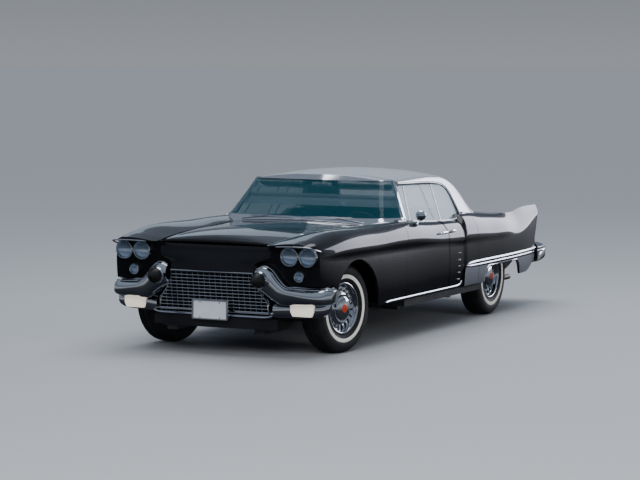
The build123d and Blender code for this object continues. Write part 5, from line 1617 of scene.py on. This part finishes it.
TAIL = [(0, 0.01), (0, 47), (62, 47), (74, 44), (82, 37), (87, 26), (90, 12), (91, 0.01)]
TAIL_RING = [(0, 47.5), (0, 54), (66, 54), (72, 52.5), (74, 50), (72, 47.5), (0, 47.5)]
TAIL_PLACE = (800, 2336, 748)
tail = turned("tail", TAIL, TAIL_PLACE, (0, 1, 0))
dress(both(tail), "tail_lenses", "car_body", "red_lens", red_glass, "tail_lamps", angle=50)
tail_ring = turned("tail_ring", TAIL_RING, TAIL_PLACE, (0, 1, 0))
plate(both(tail_ring), "tail_rings")

# Dashboard: a padded roll over a pressed steel lower panel, with a bright spear across its face, three
# round instruments ahead of the driver and the column's tapered tube bolted below.
DASH = [
    (-975, 640), (-975, 926), (-925, 931), (-850, 932), (-780, 928), (-735, 917), (-710, 898),
    (-702, 868), (-708, 836), (-730, 806), (-770, 788), (-850, 782), (-862, 770), (-864, 700),
    (-880, 650), (-900, 641),
]
COLUMN_X = 390
COLUMN_END = Vector((COLUMN_X, -560, 850))
COLUMN_WAY = Vector((0, 340, 130)).normalized()
vinyl = Finish(
    "dark_vinyl", (0.02, 0.022, 0.026), 0.5, drift=(0.42, 0.58, 30),
    shades=((0.016, 0.018, 0.022), (0.026, 0.028, 0.033), 14), grain=(520, 4, 0.25, 0.0006),
)
dash_body = settle(prism(DASH, -696, 696))
COLUMN = [(-362, 0.01), (-362, 30), (-120, 30), (-60, 27), (-40, 24), (-2, 24), (0, 0.01)]
column_tube = turned("column", COLUMN, COLUMN_END, COLUMN_WAY, count=32)
dash = joined("dash", [dash_body, column_tube])
dress(dash, "dashboard_roll", "car_body", "trim_plastic", vinyl, "dashboard", angle=40)
dash_bright = [bar([(x, -703, 846) for x in steps(-680, 680, 60)], 5, 12, (0, 1, 0), ends=(0.4, 0.4))]
DIAL = [(0, 0), (0, 4), (5, 6), (8, 4), (8, 2), (4, 0), (0, 0)]
faces = []
for x, radius in ((296, 30), (390, 40), (484, 30)):
    face = [(0, 0.01), (0, radius), (3, radius), (5, radius * 0.7), (6, 0.01)]
    faces.append(turned("face", face, (x, -707, 884), (0, 1, 0), count=32))
    dial = [(z, radius + more) for z, more in DIAL]
    dash_bright.append(turned("dial", dial, (x, -707, 884), (0, 1, 0), count=40))
plate(joined("dash_bright", dash_bright), "dashboard_bright")
dial_face = Finish(
    "dial_face", (0.01, 0.011, 0.013), 0.12, drift=(0.08, 0.18, 40),
    shades=((0.008, 0.009, 0.011), (0.016, 0.018, 0.022), 60), coat_weight=0.8,
)
dress(joined("dial_faces", faces), "dial_faces", "car_body", "trim_plastic", dial_face, angle=50)

# Steering wheel: black plastic moulded over a steel rim and two flat spokes, with a domed hub and a
# plated horn ring, pressed on the end of the column.
WHEEL_CENTRE = COLUMN_END + COLUMN_WAY * 40
WHEEL_RADIUS = 205
HORN_RADIUS = 118
rim_section = []
for k in range(17):
    a = math.tau * k / 16
    rim_section.append((11.5 * math.sin(a), WHEEL_RADIUS + 12.5 * math.cos(a)))
helm = [turned("rim", rim_section, WHEEL_CENTRE, COLUMN_WAY, count=72)]
helm_up = COLUMN_WAY.cross(Vector((1, 0, 0))).normalized()
SPOKE = [(20, 14), (70, 12), (140, 7), (200, 1)]
for side in (1, -1):
    spoke = [WHEEL_CENTRE + Vector((side * x, 0, 0)) - COLUMN_WAY * drop for x, drop in SPOKE]
    helm.append(bar(curve_through(spoke, 3), 26, 9, COLUMN_WAY))
HUB = [(-38, 0.01), (-38, 38), (-20, 40), (-4, 40), (6, 34), (12, 22), (14, 0.01)]
helm.append(turned("hub", HUB, WHEEL_CENTRE, COLUMN_WAY, count=40))
helm_plastic = Finish(
    "helm_plastic", (0.012, 0.013, 0.016), 0.22, drift=(0.18, 0.3, 30),
    shades=((0.010, 0.011, 0.013), (0.018, 0.019, 0.023), 20), coat_weight=0.3,
)
node = "steering_wheel"
dress(joined("helm", helm), "steering_wheel_rim", node, "trim_plastic", helm_plastic, node, angle=50)
horn_line = []
for k in range(41):
    a = math.tau * k / 40
    spoke_way = Vector((1, 0, 0)) * math.cos(a) + helm_up * math.sin(a)
    horn_line.append(WHEEL_CENTRE + COLUMN_WAY * 6 + spoke_way * HORN_RADIUS)
CAP = [(10, 0.01), (10, 30), (16, 27), (19, 16), (20, 0.01)]
horn = [bar(horn_line, 8, 6, COLUMN_WAY), turned("cap", CAP, WHEEL_CENTRE, COLUMN_WAY, count=32)]
plate(joined("horn", horn), "steering_wheel_horn_ring", body=node)

# Seats: full-width benches of foam over springs, in blue-grey leather with sewn pleats across the
# cushions and piped edges, crowned and rounded at every side.
leather = Finish(
    "seat_leather", (0.05, 0.062, 0.085), 0.46, drift=(0.38, 0.56, 24),
    shades=((0.042, 0.052, 0.072), (0.062, 0.076, 0.102), 7),
)
leather.bump(leather.noise(620, 5) + leather.noise(90, 2) * 0.5, 0.3, 0.0008)
PLEAT = 86
SEAM_WIDE, SEAM_DEEP = 7, 5.5
WELT_IN, WELT_WIDE, WELT_DEEP = 58, 8, 4
SQUARENESS = 4.2


def cushion(low, high, crown, top_way):
    """Crowned bench pad with pleats; the crown rises along one way in (y, z)."""
    centre = (Vector(low) + Vector(high)) / 2
    half = (Vector(high) - Vector(low)) / 2
    rings = []
    for x in steps(-half.x + 1, half.x - 1, 8):
        u = x / half.x
        size = (1 - abs(u) ** 9) ** (1 / 3)
        beside = abs(x / PLEAT - round(x / PLEAT)) * PLEAT
        seam = math.exp(-((beside / SEAM_WIDE) ** 2)) * (1 if abs(x) < half.x - WELT_IN - 2 else 0)
        welt = math.exp(-(((abs(x) - half.x + WELT_IN) / WELT_WIDE) ** 2))
        ring = []
        for k in range(48):
            a = math.tau * k / 48
            c, s = math.cos(a), math.sin(a)
            flat = (abs(c) ** SQUARENESS + abs(s) ** SQUARENESS) ** (-1 / SQUARENESS)
            y, z = c * flat, s * flat
            facing = max(0, y * top_way[0] + z * top_way[1])
            swell = crown * facing * (1 - u**4) * (1 - min(1, abs(y * top_way[1] - z * top_way[0])) ** 3)
            sink = (SEAM_DEEP * seam + WELT_DEEP * welt) * min(1, facing * 1.5)
            taper = 0.35 + 0.65 * size
            spot_y = centre.y + y * (half.y - crown * abs(top_way[0])) * taper + top_way[0] * (swell - sink)
            spot_z = centre.z + z * (half.z - crown * abs(top_way[1])) * taper + top_way[1] * (swell - sink)
            ring.append(Vector((centre.x + x, spot_y, spot_z)) * MM)
        rings.append(ring)
    return settle(skinned("cushion", rings))


for name, low, high, crown, top_way, node in (
    ("front_seat_cushion", (-690, -420, 438), (690, 96, 622), 24, (0.1, 1), "front_seat"),
    ("front_seat_back", (-690, 14, 560), (690, 150, 900), 16, (-1, 0.15), "front_seat"),
    ("rear_seat_cushion", (-630, 330, 425), (630, 776, 620), 24, (0.1, 1), "rear_seat"),
    ("rear_seat_back", (-630, 644, 560), (630, 780, 888), 16, (-1, 0.15), "rear_seat"),
):
    pad = cushion(low, high, crown, top_way)
    dress(pad, name, "car_body", "seat_leather", leather, node, angle=60)

# Cabin trim: leathercloth door panels with sewn ribs over a bright strip, and a pale cloth headlining
# stretched under the roof on hoops.
headlining = Finish(
    "headlining_cloth", (0.42, 0.44, 0.48), 0.85, drift=(0.78, 0.92, 60),
    shades=((0.38, 0.40, 0.44), (0.46, 0.48, 0.52), 18), grain=(900, 2, 0.3, 0.0006),
)
LINING = ROOF_SKIN + 2
lining = carve(roof_body(LINING), roof_body(LINING + 3, PAST))
carve(lining, ahead_of_screen(-440, FRAME_IN + 3))
carve(lining, prism([(y, z - 4) for y, z in SIDE_OPENING], -SPAN, SPAN))
carve(lining, backlight_block())
carve(lining, block((-SPAN, -1200, 800), (SPAN, 1200, 1100)))
dress(lining, "roof_lining", "car_body", "trim_plastic", headlining, angle=40)
RIB_PITCH = 54
RIB_DEEP = 1.6
REST = [(794, -170, 640), (772, -150, 648), (764, 0, 652), (766, 120, 650), (794, 170, 642)]
for stem, body, low_y, high_y in (
    ("door_front_panel", "door_front_", -880, SHUT_MIDDLE_Y - 34),
    ("door_rear_panel", "door_rear_", SHUT_MIDDLE_Y + 46, 680),
):
    panel_rings = []
    for y in steps(low_y, high_y, 9):
        edge = min(y - low_y, high_y - y)
        inset = 6 * math.exp(-edge / 6)
        rib = RIB_DEEP * abs(math.sin(math.pi * (y - low_y) / RIB_PITCH))
        low_z, high_z = 392 + inset, 925 - inset
        spots = [(799.5, low_z), (796 + inset / 3, low_z + 4)]
        spots += [(795 - rib, low_z + (700 - low_z) * t) for t in (0.08, 0.5, 0.98)]
        spots += [(792, 706), (790, 716), (792, 726), (795, 732), (795, high_z - 6), (799.5, high_z)]
        panel_rings.append([Vector((x + min(inset / 3, 1), y, z)) * MM for x, z in spots])
    panel = settle(skinned("panel", panel_rings))
    dress_sides(panel, stem, body, "seat_leather", leather, angle=30)
    rest_y = (low_y + high_y) / 2
    rest_line = curve_through([(x, rest_y + dy, z) for x, dy, z in REST], 6)
    rest = bar(rest_line, 52, 30, ends=(0.5, 0.5))
    dress_sides(rest, stem + "_rest", body, "seat_leather", leather, angle=60)
    strip_line = [(790, y, 716) for y in steps(low_y + 14, high_y - 14, 60)]
    plate_sides(bar(strip_line, 5, 9, (1, 0, 0)), stem + "_strip", body)

# Inner mirror: a plated shell pressed round a plain glass, on a bent rod that is screwed to the header
# over the windshield.
mirror_ring = ring_of([(-95, 30), (-95, -30), (95, -30), (95, 30)], 20, 6)
shell = []
for y, share in ((-561, 0.8), (-559, 0.93), (-553, 1), (-542, 1), (-540, 0.97), (-541, 0.93)):
    high = 2 * share - 1
    shell.append([Vector((p.x * share, y, 1292 + p.y * high)) * MM for p in mirror_ring])
rod = bar(curve_through([(0, -560, 1300), (0, -582, 1312), (0, -612, 1332), (0, -624, 1340)], 5), 12, 9)
mirror = joined("mirror", [settle(skinned("shell", shell)), rod])
plate(mirror, "rear_view_mirror_shell", "rear_view_mirror")

# Underbody: the pressed floor in rough undercoat, a black painted frame with the springs' arms, radiator
# and tank, cast iron engine and axles, and heat-stained exhaust pipes darkened further as painted shade.
undercoat = Finish(
    "undercoat", (0.016, 0.016, 0.017), 0.75, drift=(0.62, 0.85, 18),
    shades=((0.012, 0.012, 0.013), (0.03, 0.029, 0.028), 6), grain=(160, 4, 0.4, 0.002),
)
frame_black = Finish(
    "frame_black", (0.014, 0.014, 0.015), 0.42, drift=(0.34, 0.6, 14),
    shades=((0.01, 0.01, 0.011), (0.026, 0.024, 0.023), 5), grain=(90, 3, 0.12, 0.001),
)
cast_iron = Finish(
    "cast_iron", (0.05, 0.052, 0.055), 0.55, drift=(0.45, 0.7, 20),
    shades=((0.035, 0.036, 0.038), (0.075, 0.073, 0.07), 8), grain=(220, 4, 0.35, 0.0012),
    metallic=0.6,
)
# Exhaust steel: heat-stained, and darker still as painted shade under the car.
pipe_steel = Finish(
    "pipe_steel", (0.1, 0.09, 0.08), 0.45, drift=(0.36, 0.62, 12),
    shades=((0.07, 0.06, 0.05), (0.15, 0.14, 0.13), 5), grain=(120, 3, 0.15, 0.0008), metallic=0.8,
)
valance_paint = Finish(
    "valance_paint", (0.008, 0.008, 0.01), 0.5, drift=(0.44, 0.6, 12),
    shades=((0.006, 0.006, 0.008), (0.012, 0.012, 0.014), 4), grain=(200, 2, 0.05, 0.0005),
)
# Door glasses: pale blue-grey, far lighter than the windshield's teal, as a painted reflection of the sky.
side_glass = Finish("side_glass", (0.42, 0.58, 0.64), 0.02, specular_ior_level=0.8)
side_glass.wire("Alpha", side_glass.edge_on(0.35) * 0.5 + 0.22 + side_glass.noise(3) * 0.04)
side_glass.wire("Roughness", side_glass.noise(14) * 0.03 + 0.01)
KEPT = {
    black_paint: ("cowl", "rear_deck"),
    undercoat: ("floor_pan",),
    frame_black: ("chassis_frame", "radiator", "fuel_tank", "front_suspension"),
    cast_iron: ("engine", "rear_axle", "knuckle_left", "knuckle_right"),
    pipe_steel: ("exhaust",),
    valance_paint: ("front_valance",),
    side_glass: ("glass_front_left", "glass_front_right", "glass_rear_left", "glass_rear_right"),
}
for finish, kept in KEPT.items():
    for name in kept:
        nodes[name].data.materials.clear()
        nodes[name].data.materials.append(finish.material)
